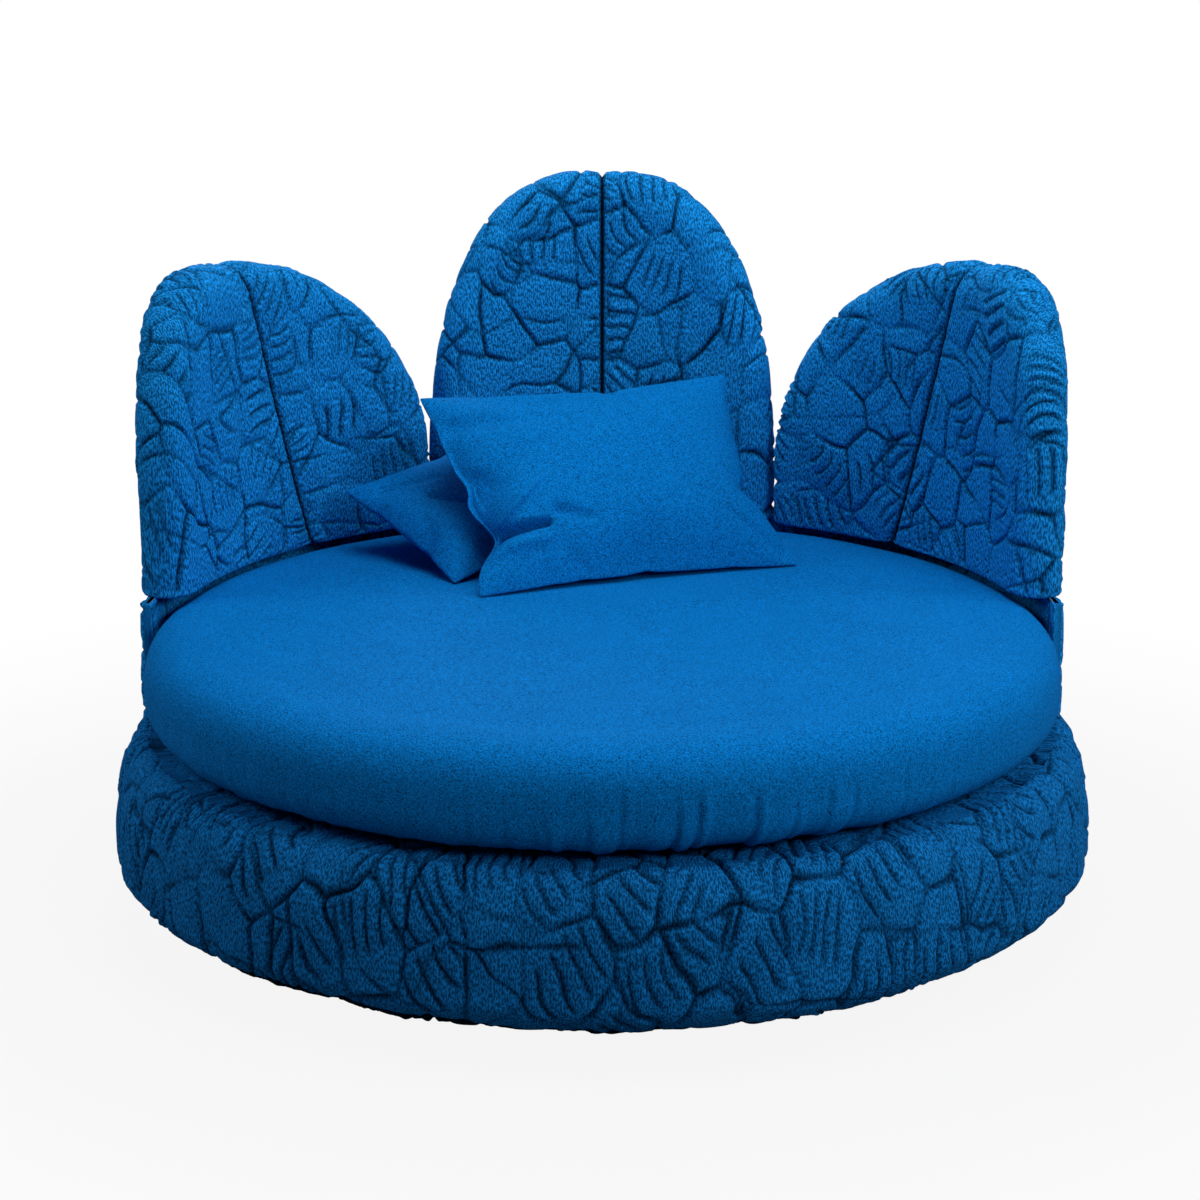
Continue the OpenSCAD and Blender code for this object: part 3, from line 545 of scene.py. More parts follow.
def flat_grid(name, across, up):
    """A flat grid of that many squares, with each vertex's share of the way across and up."""
    bm = bmesh.new()
    bmesh.ops.create_grid(bm, x_segments=across, y_segments=up, size=0.5)
    mesh = mesh_of(bm, name, False)
    return mesh, *(coordinates(mesh)[:, :2] + 0.5).T


def joined(mesh):
    """The mesh as a bmesh, its vertices joined where they meet; the mesh is taken away."""
    bm = bmesh.new()
    bm.from_mesh(mesh)
    bpy.data.meshes.remove(mesh)
    bmesh.ops.remove_doubles(bm, verts=bm.verts, dist=1e-5)
    return bm


def close_holes(bm):
    """Fills every hole that a bmesh has."""
    bmesh.ops.holes_fill(bm, edges=[e for e in bm.edges if e.is_boundary], sides=0)


def rolled(name, section, turns, angle=2 * math.pi, start=0.0):
    """A flat grid rolled round Z, its rows along a section of (radius, height) points."""
    mesh, across, up = flat_grid(name, turns, len(section) - 1)
    turn = start + angle * across
    r, z = np.asarray(section)[np.rint(up * (len(section) - 1)).astype(int)].T
    move_to(mesh, np.stack([r * np.cos(turn), r * np.sin(turn), z], 1))
    return joined(mesh)


FINE = 0.0042
skirt = curve(BASE_R, FOOT_R, WIDE_Z, FOOT_Z, SKIRT_BULGE)[::-1]
shoulder = curve(BASE_R, SHOULDER_R, WIDE_Z, BASE_TOP, SHOULDER_BULGE)
outer = even_steps(np.concatenate([skirt, shoulder[1:], [[0.70, BASE_TOP]]]), FINE)
section = np.concatenate([[[0.656, 0.0245], [0.656, 0.0212]], outer,
                          [[TOP_IN_R, BASE_TOP], [TOP_IN_R, BASE_TOP - 0.004]]])
mesh = mesh_of(rolled("base", section, int(2 * math.pi * BASE_R / FINE)), "base cover")
points, out_way = coordinates(mesh), normals(mesh)
radius, azimuth, from_front = round_z(points)
# Distance up the cloth from the foot, found from the height below the shoulder and the radius above
up = lengths_along(outer)
last = np.where(np.diff(outer[:, 1]) > 1e-6)[0].max() + 1
v = np.where(points[:, 2] < BASE_TOP - 0.0005,
             np.interp(points[:, 2], outer[:last + 1, 1], up[:last + 1]),
             up[last] + np.maximum(0, outer[last, 0] - radius))
ring = 2 * math.pi * BASE_R
u = (azimuth - math.pi / 2) % (2 * math.pi) * BASE_R
height, crease = quilting(u, v, BASE_SHARD, ring, upright=True, gilled=0.75, crumple=0.0017)
swell = puffed(u, v, 0.17, ring)
seen = rise(radius, 0.69, 0.02) * rise(points[:, 2], 0.021, 0.004)
shift = seen * (1.25 * height + 0.0024 * swell)
# Under the seat's edge the cover is gathered
GATHERS = 220
gather = noise(azimuth / (2 * math.pi) * GATHERS, v * 4, 4, GATHERS)
shift -= 0.0028 * seen * groove(points[:, 2] - 0.302, 0.022) * (0.5 + 0.5 * gather)
points += out_way * shift[:, None]
# The seat slides over the top, so nothing swells above it
points[:, 2] = np.minimum(points[:, 2], BASE_TOP - 0.0003)
move_to(mesh, points)
give_uv(mesh, u, v, ring)
# The lowest strip, turned under to the floor, is painted near black as shade, as if it were a dark
# lining. It rides up at the left front, where the shade lies deepest. The stitched creases are
# painted darker as shade as well.
painted_shade_top = 0.045 + 0.036 * groove(from_front + 33, 22) + 0.008 * groove(from_front - 14, 12)
painted_shade_strip = fall(points[:, 2], painted_shade_top, 0.004) * (radius > 0.68)
give_value(mesh, "groove", np.maximum(crease * seen, 1.6 * painted_shade_strip))
finish_piece("base_cover_quilted", mesh, "daybed", drum_quilted_painted_shade,
             ["base_cover", "base_foam_side", "base_foam_top"])

# %% [markdown]
# ## The band below the backrests
# Between the drum and the backrests a narrow quilted band wraps the shells' feet. It is a closed
# section rolled through nearly half a turn, with both ends capped.

# %% Band
BAND_IN, BAND_OUT, BAND_TOP, BAND_FROM = 0.806, 0.8198, 0.512, math.radians(4)
t = np.linspace(0, math.pi / 2, 8)
lip = 0.003
top_round = np.concatenate([
    np.stack([BAND_OUT - lip + lip * np.cos(t), BAND_TOP - lip + lip * np.sin(t)], 1),
    np.stack([BAND_IN + lip - lip * np.sin(t), BAND_TOP - lip + lip * np.cos(t)], 1)])


def shoulder_height(r):
    """Height of the base's surface at a radius."""
    share = 1 - (BASE_R - r) / (BASE_R - SHOULDER_R)
    if r <= SHOULDER_R:
        return BASE_TOP
    return WIDE_Z + (BASE_TOP - WIDE_Z) * (1 - share ** SHOULDER_BULGE) ** (1 / SHOULDER_BULGE)


# Its foot stands in the drum's padding, below the deepest crease
BAND_FOOT = 0.012
low_out, low_in = (shoulder_height(r) - BAND_FOOT for r in (BAND_OUT, BAND_IN))
outline = np.concatenate([
    even_steps([[BAND_OUT, low_out], [BAND_OUT, BAND_TOP - lip]], FINE)[:-1], top_round,
    even_steps([[BAND_IN, BAND_TOP - lip], [BAND_IN, low_in]], FINE)[1:],
    [[BAND_OUT, low_out]]])
bm = rolled("band", outline, int(math.pi * BAND_OUT / FINE), math.pi - 2 * BAND_FROM, BAND_FROM)
close_holes(bm)
mesh = mesh_of(bm, "band")
points = coordinates(mesh)
radius, azimuth, _ = round_z(points)
outside = radius > (BAND_IN + BAND_OUT) / 2
u = azimuth * BAND_OUT + np.where(outside, 0, 0.3)
v = np.where(outside, points[:, 2], 2 * BAND_TOP - points[:, 2])
height, crease = quilting(u, v, BAND_SHARD)
# The stitching fades out at both ends and at the top
fade = rise(azimuth, BAND_FROM, 0.01) * fall(azimuth, math.pi - BAND_FROM, 0.01)
fade *= fall(points[:, 2], BAND_TOP + 0.001, 0.002)
way = np.stack([np.cos(azimuth), np.sin(azimuth), 0 * azimuth], 1)
# The band lies close on the plywood, so its padding stands outwards and no crease goes through
swollen = np.maximum(0.8 * height + 0.0080 + 0.0012 * puffed(u, v, 0.13), -0.0018)
shift = fade * np.where(outside, swollen, -0.15 * height)
move_to(mesh, points + way * shift[:, None])
give_uv(mesh, u, v)
# The stitched creases are painted darker as shade through this value
give_value(mesh, "groove", crease * fade)
finish_piece("band_quilted", mesh, "daybed", quilted, ["band_cover"])

# %% [markdown]
# ## The petal backrests
# A backrest is a fat curved pad. Its outline is an arch: upright sides, then a superellipse over
# the crown. Seen in section its edge is a full round, so front and back run into each other with no
# edge line. The mesh is a flat grid that is wrapped over it: one way the grid follows rays from the
# middle of the lower edge out to the arch, over the round edge and back down behind, the other way
# it follows the arch. A seam sewn down the middle pulls the padding in and notches the crown.

# %% Petal outline
PAD_R, PAD_HALF, PAD_CROWN, PAD_Z, ROUND_IN = 0.795, 0.050, 0.005, 0.5125, 0.070
RIM_LONG, RIM_POWER, UNDER_IN, UNDER_HIGH = 0.10, 0.8, 0.004, 0.012
BACK_U = 30   # the stitching of a petal's back is taken this far along the cloth
SIDE = dict(crown=24, outer=17, inner=40.3, top=1.079, outer_z=0.705, inner_z=0.620,
            outer_b=2.6, inner_b=2.15, lead=0.12, lean=0.33)
CENTRE = dict(crown=90, outer=25.2, inner=25.2, top=1.193, outer_z=0.530, inner_z=0.530,
              outer_b=2.5, inner_b=2.5, lead=0.0, lean=0.0)


def petal_outline(petal, count):
    """Points along the arch from the lower outer corner to the lower inner one: (arc, height)."""
    halves = []
    for sign, arc, z, b in ((-1, petal["outer"], petal["outer_z"], petal["outer_b"]),
                            (1, petal["inner"], petal["inner_z"], petal["inner_b"])):
        width = math.radians(arc) * PAD_R
        a = np.linspace(0, math.pi / 2, 200)
        x = sign * width * np.cos(a) ** (2 / b)
        y = z + (petal["top"] - z) * np.sin(a) ** (2 / b)
        halves.append(np.concatenate([[[sign * width, PAD_Z]], np.stack([x, y], 1)]))
    return even_steps(np.concatenate([halves[0], halves[1][::-1][1:]]), count=count)


def seam_place(petal, z):
    """Arc length from the crown's azimuth to the seam at a height."""
    share = np.clip((z - PAD_Z) / (petal["top"] - PAD_Z), 0, 1)
    return math.radians(petal["inner"]) * PAD_R * (petal["lead"] + petal["lean"] * (1 - share))


# %% Petal covers
def petal_cover(side, petal, shift_u):
    """One backrest's cover, for the left side mirrored; shift_u moves its stitching."""
    name = side + "_backrest_quilted"
    around = int(1.75 / FINE)
    arch = petal_outline(petal, around)
    middle = np.array([0.0, PAD_Z])
    ray = arch - middle
    reach = np.hypot(*ray.T)
    along = np.gradient(arch, axis=0)
    across = np.stack([-along[:, 1], along[:, 0]], 1)
    across /= np.hypot(*across.T)[:, None]
    slant = np.clip(np.abs((across * ray).sum(1)) / np.maximum(reach, 1e-6), 0.35, 1)
    slant[0], slant[-1] = slant[1], slant[-2]
    rim = int(RIM_LONG / FINE)
    inner = int((reach.max() - ROUND_IN) / FINE * 0.82)
    turn = np.linspace(math.pi / 2, 0, rim + 1)
    rim_in = ROUND_IN * (1 - np.cos(turn) ** RIM_POWER)
    rim_half = np.sin(turn) ** RIM_POWER
    # Rings from the middle out to where the edge starts to round, then over the round
    start = 1 - ROUND_IN / slant / reach
    rings = [(start * (k / inner), np.ones_like(start)) for k in range(inner)]
    rings += [(1 - rim_in[k] / slant / reach, np.full_like(start, rim_half[k]))
              for k in range(rim + 1)]
    wide = 2 * len(rings) - 1
    mesh, col, row = flat_grid(name, wide - 1, around)
    col = np.rint(col * (wide - 1)).astype(int)
    row = np.rint(row * around).astype(int)
    front = col < len(rings)
    ring = np.where(front, col, wide - 1 - col)
    share = np.array([r[0] for r in rings])[ring, row]
    half = np.array([r[1] for r in rings])[ring, row]
    s = ray[row, 0] * share
    z = PAD_Z + ray[row, 1] * share
    arc = np.where(s < 0, petal["outer"], petal["inner"])
    angle = s / PAD_R
    full = (PAD_HALF + PAD_CROWN * (1 - (np.degrees(angle) / arc) ** 2)) * half
    # The lower edge turns under
    low = rise(z, PAD_Z, UNDER_HIGH)
    full = np.maximum(full - UNDER_IN * (1 - np.sqrt(1 - (1 - low) ** 2)), 0.0)
    radius = PAD_R + np.where(front, -1, 1) * full
    azimuth = math.radians(petal["crown"]) + angle
    sign = -1 if side == "left" else 1
    points = np.stack([sign * radius * np.cos(azimuth), radius * np.sin(azimuth), z], 1)
    move_to(mesh, points)
    # Cloth coordinates run on round the edge to the back, whose middle has its own
    sweep = lengths_along(np.stack([rim_in, PAD_HALF * rim_half], 1))
    outward = across * np.sign((across * ray).sum(1))[:, None]
    over = np.concatenate([np.zeros(inner), sweep])[ring]
    over = np.where(front, over, 2 * sweep[-1] - over)
    start_share = np.minimum(share, start[row])
    u = ray[row, 0] * start_share + outward[row, 0] * over + shift_u
    v = PAD_Z + ray[row, 1] * start_share + outward[row, 1] * over + 0.37 * shift_u
    past_round = np.maximum(ring - inner, 0) / (0.75 * rim)
    behind = np.where(front, 0, np.clip(1.6 - 1.6 * past_round, 0, 1))
    from_seam = s - seam_place(petal, z)
    kept = {"u": u, "v": v, "seam": from_seam, "behind": behind, "s": s + shift_u + BACK_U}
    for key, values in kept.items():
        give_value(mesh, key, values)
    # Close the grid: over the crown and along the middle the rings meet
    bm = joined(mesh)
    close_holes(bm)
    bmesh.ops.dissolve_degenerate(bm, edges=bm.edges, dist=1e-6)
    mesh = mesh_of(bm, name)
    points, out_way = coordinates(mesh), normals(mesh)
    read = {}
    for key in kept:
        read[key] = values_of(mesh.attributes[key].data, "value", np.float32).astype(float)
        mesh.attributes.remove(mesh.attributes[key])
    u, v, seam, behind = read["u"], read["v"], np.abs(read["seam"]), read["behind"]
    z, top = points[:, 2], petal["top"]
    height, crease = quilting(u, v, PETAL_SHARD, gilled=0.55, crumple=0.0009)
    height_back, crease_back = quilting(read["s"], z, PETAL_SHARD, gilled=0.55, crumple=0.0009)
    height += behind * (height_back - height)
    crease += behind * (crease_back - crease)
    near_crown = rise(z, top - 0.13, 0.13)
    seam_line = groove(seam, 0.0052)
    fade = rise(z, PAD_Z + 0.002, 0.01) * rise(seam, 0.003, 0.009)
    # By the seam near the crown the cloth is caught in short slanting puckers
    pucker = groove(seam - 0.03, 0.022) * near_crown * (0.5 + 0.5 * np.sin(
        (v + 0.9 * seam) * 2 * math.pi / 0.024)) ** 2
    shift = fade * (height + 0.0026 * puffed(u, v, 0.14) - 0.0045 * pucker)
    shift -= (0.0085 + 0.003 * near_crown) * seam_line + 0.0045 * groove(seam, 0.026)
    move_to(mesh, points + out_way * shift[:, None])
    give_uv(mesh, u, v, behind=(behind, read["s"], z))
    # The stitched creases and the seam line are painted darker as shade through this value
    give_value(mesh, "groove", np.clip(np.maximum(crease * fade, 1.3 * seam_line), 0, 1.3))
    nodes = [side + "_cover", side + "_foam_front", side + "_foam_rear"]
    finish_piece(name, mesh, "daybed", quilted, nodes)


petal_cover("right", SIDE, 2.0)
petal_cover("left", SIDE, 5.0)
petal_cover("centre", CENTRE, 8.0)

# %% [markdown]
# ## The seat cushion
# The seat is one thick round of foam in smooth cloth. Its underside rests on the drum and its side
# bulges over a narrow dark gap. The cloth is a little loose: low at the front it hangs in upright
# ripples and thin folds, and it lies in slow waves on top.

# %% Seat cover
SEAT_R, SEAT_Z, SEAT_WIDE, SEAT_H = 0.804, 0.3213, 0.077, 0.185
SEAT_IN, SEAT_RISE, SEAT_UNDER_R, LOW_ROWS = 0.130, 0.004, 0.621, 0.06
UNDER_BULGE, OVER_BULGE = 2.4, 2.89
SEAT_STEP = 0.006
under = curve(SEAT_R, SEAT_R - SEAT_IN, SEAT_Z + SEAT_WIDE, SEAT_Z, UNDER_BULGE)[::-1]
over = curve(SEAT_R, SEAT_R - SEAT_IN, SEAT_Z + SEAT_WIDE, SEAT_Z + SEAT_H, OVER_BULGE)
crown_r = (SEAT_R - SEAT_IN) * 0.86
round_part = even_steps(np.concatenate([under, over[1:]]), SEAT_STEP)
# Rows at the edges and in the middle of the zip's slot
zip_low, zip_high = SEAT_Z + 0.030, SEAT_Z + 0.046
zip_rows = [zip_low - 0.0006, zip_low, (zip_low + zip_high) / 2, zip_high, zip_high + 0.0006]
low_part = round_part[round_part[:, 1] < SEAT_Z + LOW_ROWS]
low_part = low_part[(low_part[:, 1] < zip_low - 0.002) | (low_part[:, 1] > zip_high + 0.002)]
zip_part = [[np.interp(z, under[:, 1], under[:, 0]), z] for z in zip_rows]
low_part = np.concatenate([low_part, zip_part])
round_part = np.concatenate([low_part[np.argsort(low_part[:, 1])],
                             round_part[round_part[:, 1] >= SEAT_Z + LOW_ROWS]])
section = np.concatenate([[[SEAT_UNDER_R, SEAT_Z + 0.0025], [SEAT_UNDER_R, SEAT_Z]], round_part,
                          even_steps([[SEAT_R - SEAT_IN, SEAT_Z + SEAT_H],
                                      [crown_r, SEAT_Z + SEAT_H + SEAT_RISE]], SEAT_STEP * 1.5)[1:],
                          even_steps([[crown_r, SEAT_Z + SEAT_H + SEAT_RISE],
                                      [0, SEAT_Z + SEAT_H + SEAT_RISE]], SEAT_STEP * 2)[1:]])
mesh = mesh_of(rolled("seat", section, 1260), "seat cover")
points, out_way = coordinates(mesh), normals(mesh)
radius, azimuth, from_front = round_z(points)
height = (points[:, 2] - SEAT_Z) / SEAT_H
turn = azimuth / (2 * math.pi)
ripple = (0.55 * noise(turn * 120, height * 1.1, 1, 120) + 0.4 * noise(turn * 210, height, 2, 210)
          + 0.45 * noise(turn * 60, height * 0.7, 3, 60))
where = 0.18 + 1.1 * groove(from_front - 12, 20) + 0.45 * groove(from_front + 45, 22)
on_side = rise(height, 0, 0.06) * (radius > 0.7)
low_side = on_side * fall(height, 0.74, 0.45)
top_wave = fall(radius, 0.80, 0.1) * (height > 0.9)
# Thin upright folds hang where the cloth is gathered, one in each step round the seat
FOLDS = 76
step_at = turn * FOLDS + 0.10 * (1 - height) * np.sign(from_front)
which = np.floor(step_at).astype(int)
fold_step = 2 * math.pi * SEAT_R / FOLDS
off = (step_at - which - 0.2 - 0.6 * lookup(0, which, 3, FOLDS)) * fold_step
fold = groove(off, 0.0052) - 0.6 * groove(off - 0.0115, 0.0075)
fold *= 0.5 + 0.5 * lookup(1, which, 5, FOLDS)
fold_top = 0.45 + 0.4 * lookup(2, which, 7, FOLDS)
fold *= fall(height, fold_top, 0.2) * on_side
gathered = 0.08 + groove(from_front - 16, 24) + 0.35 * groove(from_front + 45, 20)
shift = 0.0065 * ripple * where * low_side - 0.0052 * fold * gathered
shift += top_wave * (0.0016 * noise(points[:, 0] * 6, points[:, 1] * 6, 3) - 0.0010)
points += out_way * shift[:, None]
# The zip lies in a slot low at the back, a slider's length longer than it at both ends
SLOT_HALF, SLOT_R, SLOT_NEAR = 61.8, 0.7803, 0.0003
z_now = points[:, 2]
in_slot = (np.abs(np.degrees(azimuth) - 90) < SLOT_HALF) & (radius > 0.76)
in_slot &= (z_now > zip_low - SLOT_NEAR) & (z_now < zip_high + SLOT_NEAR)
points[in_slot, :2] *= (SLOT_R / np.hypot(points[in_slot, 0], points[in_slot, 1]))[:, None]
move_to(mesh, points)
finish_piece("seat_cover_smooth", mesh, "seat", smooth_cloth,
             ["seat_cover", "seat_foam", "seat_topper"])

# %% [markdown]
# ## The scatter pillows
# A knife-edge pillow is two rectangles of cloth sewn together and stuffed. The cloth can't stretch,
# so as the bag fills its sides draw in between the corners, and wrinkles run in from the seams.
# Cloth simulation does exactly that: a flat double sheet is blown up until it holds the volume of
# its filling. The result is creased where the photograph shows a fold, and leaned into its place.

# %% Inflating
def flat_pillow(name, width, height, cells):
    """Two sheets sewn along their edges, a little apart in the middle."""
    bm = bmesh.new()
    bmesh.ops.create_grid(bm, x_segments=int(width / cells), y_segments=int(height / cells),
                          size=0.5)
    bmesh.ops.scale(bm, vec=(width, height, 1), verts=bm.verts)
    copy = bmesh.ops.duplicate(bm, geom=bm.verts[:] + bm.edges[:] + bm.faces[:])
    back = [f for f in copy["geom"] if isinstance(f, bmesh.types.BMFace)]
    bmesh.ops.reverse_faces(bm, faces=back)
    for vert in bm.verts:
        x, y = vert.co.x / width * 2, vert.co.y / height * 2
        vert.co.z = 0.012 * (1 - x * x) * (1 - y * y)
    for vert in {v for f in back for v in f.verts}:
        vert.co.z *= -1
    bmesh.ops.remove_doubles(bm, verts=bm.verts, dist=1e-6)
    return mesh_of(bm, name)


def inflate(mesh, volume, frames):
    """Blows a closed mesh up as cloth until it holds a volume."""
    work = bpy.data.objects.new("blown", mesh)
    scene.collection.objects.link(work)
    modifier = work.modifiers.new("cloth", "CLOTH")
    cloth = modifier.settings
    cloth.quality = 5
    cloth.mass, cloth.air_damping = 0.15, 4
    cloth.tension_stiffness = cloth.compression_stiffness = 40
    cloth.shear_stiffness, cloth.bending_stiffness = 13, 0.08
    cloth.tension_damping = cloth.compression_damping = cloth.shear_damping = 8
    cloth.use_pressure = cloth.use_pressure_volume = True
    cloth.uniform_pressure_force, cloth.pressure_factor = 0, 3
    cloth.target_volume = volume
    cloth.effector_weights.gravity = 0
    modifier.collision_settings.use_collision = False
    modifier.point_cache.frame_start, modifier.point_cache.frame_end = 1, frames
    for number in range(1, frames + 1):
        scene.frame_set(number)
    blown = taken(work)
    scene.frame_set(1)
    bpy.data.objects.remove(work)
    return blown


def taken(work):
    """The object's mesh with its modifiers in it."""
    return bpy.data.meshes.new_from_object(work.evaluated_get(
        bpy.context.evaluated_depsgraph_get()))


def refined(mesh):
    """The mesh with each face smoothed and cut in sixteen."""
    work = bpy.data.objects.new("finer", mesh)
    scene.collection.objects.link(work)
    finer = work.modifiers.new("finer", "SUBSURF")
    finer.levels = finer.render_levels = 2
    fine = taken(work)
    bpy.data.objects.remove(work)
    return fine


# %% Placing
PILLOW_FLOOR = SEAT_Z + SEAT_H + SEAT_RISE + 0.0004
SIM_CELL, SIM_FRAMES, FILLED = 0.013, 45, 0.572
FIRM_LEFT, FIRM_RIGHT, FIRM_HIGH = 0.5, 0.1, 0.72


def crease_in(points, creases):
    """Presses lines into a pillow's face: (start, end, depth at the start, half width)."""
    for start, end, depth, wide in creases:
        a, line = np.array(start), np.array(end) - np.array(start)
        t = np.clip(((points[:, :2] - a) @ line) / (line @ line), 0, 1)
        away = np.hypot(*(points[:, :2] - a - t[:, None] * line).T)
        face = rise(points[:, 2], 0, 0.01)
        press = depth * (1 - 0.7 * t) * np.exp(-(away / (wide * (1 - 0.4 * t))) ** 2)
        # The face never goes down through the back
        points[:, 2] -= face * np.minimum(press, 1.6 * np.maximum(points[:, 2], 0))


def pillow(body, size, place, angles, creases, tucks, seed):
    """A blown pillow of (width, height, thickness), leaned and turned into its place."""
    name = body + "_cloth"
    width, height, thick = size
    sheet = flat_pillow(name, width * 1.045, height * 1.06, SIM_CELL)
    flat = coordinates(sheet)
    mesh = inflate(sheet, FILLED * width * height * thick, SIM_FRAMES)
    # The filling of a used pillow has settled: its edges are straighter than those of a bag
    # full of air, so the outline goes part of the way back to the flat sheet
    round_bag = coordinates(mesh)
    firm = np.stack([np.where(flat[:, 0] < 0, FIRM_LEFT, FIRM_RIGHT),
                     np.full(len(flat), FIRM_HIGH)], 1)
    scale = np.ptp(round_bag[:, :2], axis=0) / np.ptp(flat[:, :2], axis=0)
    round_bag[:, :2] += firm * (flat[:, :2] * scale - round_bag[:, :2])
    move_to(mesh, round_bag)
    mesh = refined(mesh)
    points = coordinates(mesh)
    points -= (points.max(0) + points.min(0)) / 2
    span = points.max(0) - points.min(0)
    print(name, "blown to", np.round(span, 3))
    points *= np.array([width, height, thick]) / span
    x, y = points[:, 0] / width * 2, points[:, 1] / height * 2
    # The filling sinks a little to the lower edge and lies in slow lumps
    points[:, 2] *= 1 - 0.12 * y * np.clip(1 - y * y, 0, 1)
    face = rise(np.abs(points[:, 2]), 0, 0.02) * np.sign(points[:, 2])
    points[:, 2] += 0.0035 * face * noise(x * 2 + seed, y * 2 + seed, 2)
    for (tx, ty), (sx, sy), reach in tucks:
        pull = np.exp(-((points[:, 0] - tx) ** 2 + (points[:, 1] - ty) ** 2) / reach ** 2)
        points[:, 0] += sx * pull
        points[:, 1] += sy * pull
    crease_in(points, creases)
    lean, yaw, roll = angles
    spin = (Matrix.Rotation(math.radians(yaw), 3, "Z")
            @ Matrix.Rotation(math.radians(90 - lean), 3, "X")
            @ Matrix.Rotation(math.radians(roll), 3, "Z"))
    points = points @ np.array(spin).T + np.array(place)
    # What would sink into the seat lies flat on it
    points[:, 2] = np.maximum(points[:, 2], PILLOW_FLOOR)
    move_to(mesh, points)
    nodes = [body + "_cover", body + "_filling"]
    finish_piece(name, mesh, body, smooth_cloth, nodes)


# Where the front pillow's lower left side has folded: a deep crease in from the edge, a ridge and a
# shallow valley above it, and the edge itself tucked in
front_creases = [((-0.285, -0.085), (-0.315, 0.110), 0.040, 0.042),
                 ((-0.345, -0.112), (-0.160, -0.106), 0.090, 0.011),
                 ((-0.245, -0.088), (-0.150, -0.015), -0.016, 0.009),
                 ((-0.255, -0.010), (-0.160, 0.060), 0.018, 0.026),
                 ((-0.270, 0.140), (-0.060, 0.125), 0.015, 0.020),
                 ((-0.310, -0.148), (-0.170, -0.138), -0.016, 0.016),
                 ((-0.135, -0.085), (-0.070, -0.110), 0.014, 0.014),
                 ((0.290, -0.200), (0.190, -0.110), 0.008, 0.012)]
rear_creases = [((-0.120, 0.020), (-0.080, -0.060), 0.012, 0.008),
                ((-0.020, -0.100), (-0.060, -0.020), 0.018, 0.010),
                ((-0.170, 0.110), (-0.080, 0.060), 0.010, 0.014),
                ((0.020, -0.170), (0.060, -0.040), 0.020, 0.014)]
pillow("front_pillow", (0.627, 0.448, 0.130), (0.012, 0.378, 0.6633), (47.5, 21.5, 0),
       front_creases, [((-0.31, -0.105), (0.045, 0.0), 0.05)], 3.0)
pillow("rear_pillow", (0.425, 0.355, 0.122), (-0.212, 0.460, 0.6143), (67.5, 4, 34.5),
       rear_creases, [], 9.0)

# %% [markdown]
# ## The frame's own pieces
# Under the cloth the daybed is plain joinery: plywood ribs, panels and bent shells, zinc-plated
# brackets and screws, black moulded plinth and glides, open mesh where air and water pass, and a
# coil zip. These keep their CAD shapes and get procedural finishes on their own slots. All of them
# read the Object coordinates, so nothing swims when a part moves.

# %% Finishes
def finish(name, roughness, metallic=0.0):
    """A material with its tree, its object coordinates and its shader, already joined up."""
    material = new_material(name)
    tree = material.node_tree
    place = add(tree, "TexCoord").outputs["Object"]
    shader = add(tree, "BsdfPrincipled", Roughness=roughness, Metallic=metallic)
    add(tree, "OutputMaterial", shader.outputs[0])
    return material, tree, place, shader


def banded(tree, value, low, high, shader, bump=0.0):
    """Colours the shader between two colours by a value, with a bump from it if asked."""
    ramp = add(tree, "Mix", value, data_type="RGBA")
    ramp.inputs[6].default_value, ramp.inputs[7].default_value = low, high
    tree.links.new(ramp.outputs[2], shader.inputs["Base Color"])
    if bump:
        relief = add(tree, "Bump", Strength=bump, Distance=0.001, Height=value)
        tree.links.new(relief.outputs[0], shader.inputs["Normal"])


def plain_finish(name, low, high, scale, roughness, metallic=0.0, bump=0.3):
    """A finish that wanders between two colours."""
    material, tree, place, shader = finish(name, roughness, metallic)
    banded(tree, noise_at(tree, place, scale), low, high, shader, bump)
    return material


plastic = plain_finish("black moulded plastic", (0.012, 0.012, 0.013, 1), (0.022, 0.022, 0.024, 1),
                       (900, 900, 900), 0.5)
zinc = plain_finish("zinc-plated steel", (0.42, 0.43, 0.44, 1), (0.66, 0.67, 0.69, 1),
                    (60, 60, 400), 0.35, 1.0, 0.15)
dark_metal = plain_finish("blackened zip slider", (0.03, 0.03, 0.035, 1), (0.07, 0.07, 0.08, 1),
                          (300, 300, 300), 0.4, 1.0, 0.1)

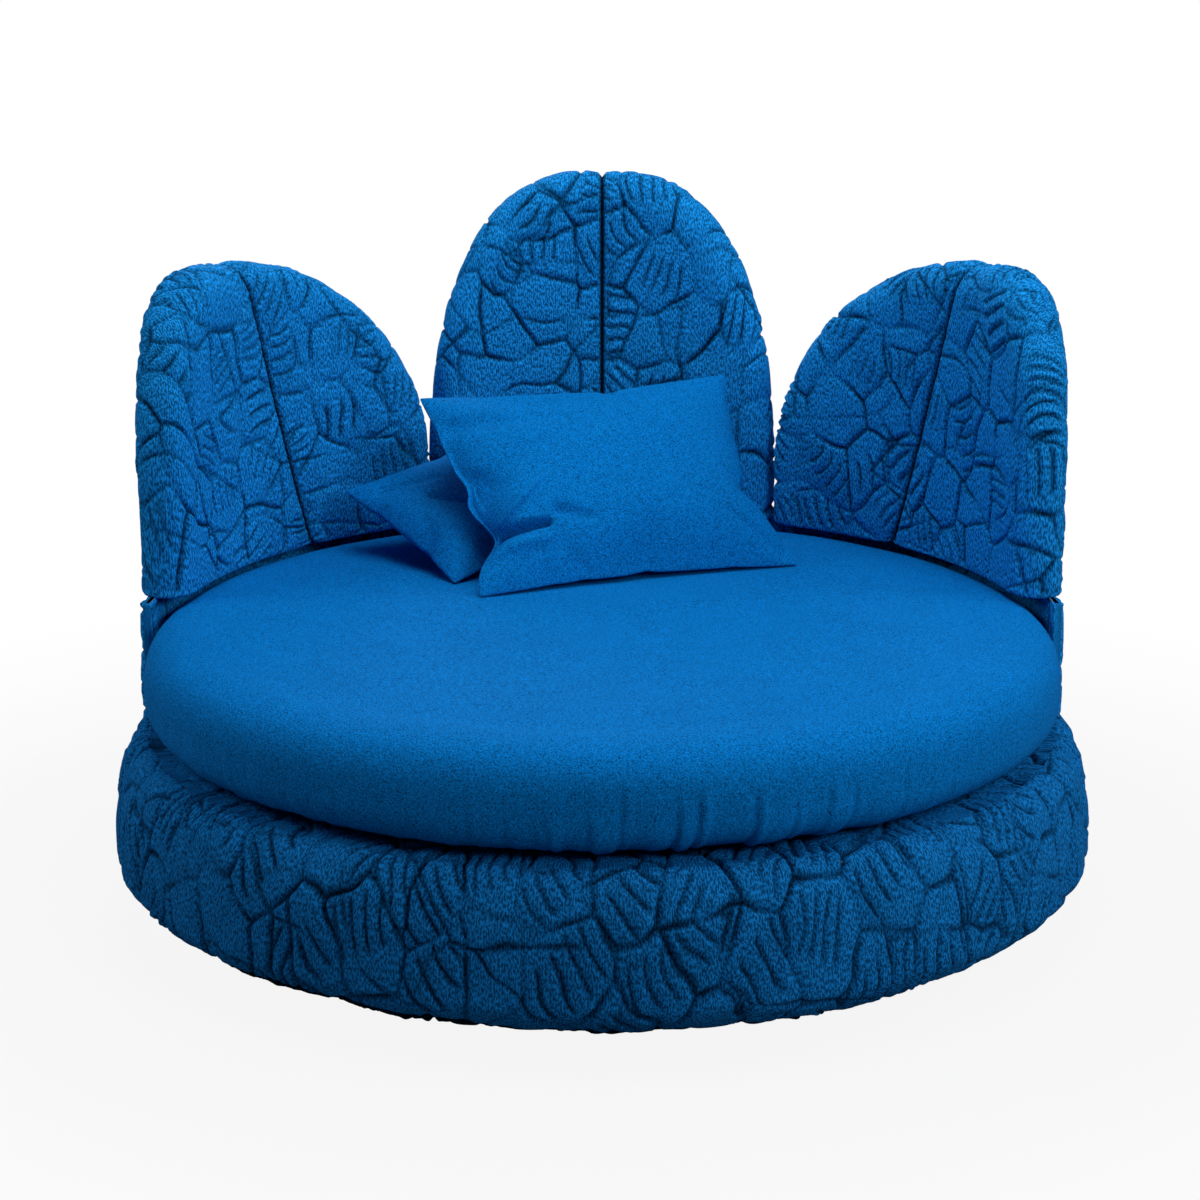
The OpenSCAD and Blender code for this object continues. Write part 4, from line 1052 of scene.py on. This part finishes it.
# Plywood: pale grain on the faces, and thin layers that show on the cut edges
PLY_PAIR, YARN_STEP, TOOTH_STEP, ZIP_R, ZIP_MIDDLE = 0.003, 0.004, 0.0025, 0.78, SEAT_Z + 0.038
plywood, tree, place, shader = finish("birch plywood", 0.6)
grain = noise_at(tree, place, (14, 160, 160), 4.0)
layers = waves(tree, axes(tree, place)["Z"], 2 * math.pi / PLY_PAIR)
mixed = math_node(tree, "MULTIPLY_ADD", layers, 0.06, grain)
banded(tree, mixed, (0.42, 0.26, 0.12, 1), (0.74, 0.56, 0.34, 1), shader, 0.1)

# Mesh: a square weave of black yarn a few millimetres apart
mesh_cloth, tree, place, shader = finish("black spacer mesh", 0.75)
sides = axes(tree, place)
weave = math_node(tree, "MAXIMUM", waves(tree, sides["X"], 2 * math.pi / YARN_STEP),
                  waves(tree, sides["Y"], 2 * math.pi / YARN_STEP))
banded(tree, weave, (0.004, 0.004, 0.004, 1), (0.03, 0.03, 0.033, 1), shader, 0.6)

# Zip tape: blue cloth with a darker coil of teeth along its middle
zip_tape, tree, place, shader = finish("blue zip tape", 0.8)
sides = axes(tree, place)
round_seat = math_node(tree, "ARCTAN2", sides["Y"], sides["X"])
teeth = waves(tree, round_seat, 2 * math.pi * ZIP_R / TOOTH_STEP)
off_middle = math_node(tree, "SUBTRACT", sides["Z"], ZIP_MIDDLE)
off_middle = math_node(tree, "ABSOLUTE", off_middle)
coil = math_node(tree, "LESS_THAN", off_middle, 0.003)
tooth = math_node(tree, "MULTIPLY", coil, math_node(tree, "MULTIPLY_ADD", teeth, 0.5, 0.5))
banded(tree, tooth, (0.001, 0.07, 0.24, 1), (0.001, 0.02, 0.06, 1), shader, 0.5)

finishes = {"black_plastic": plastic, "steel": zinc, "black_mesh": mesh_cloth, "plywood": plywood,
            "zip_tape": zip_tape, "zip_slider": dark_metal}
dressed = 0
for part in frame["record"]["subparts"]:
    if part["material_slot"] in finishes:
        for place in frame["nodes"][part["node"]].material_slots:
            place.material = finishes[part["material_slot"]]
        dressed += 1
print("CAD pieces finished:", dressed)
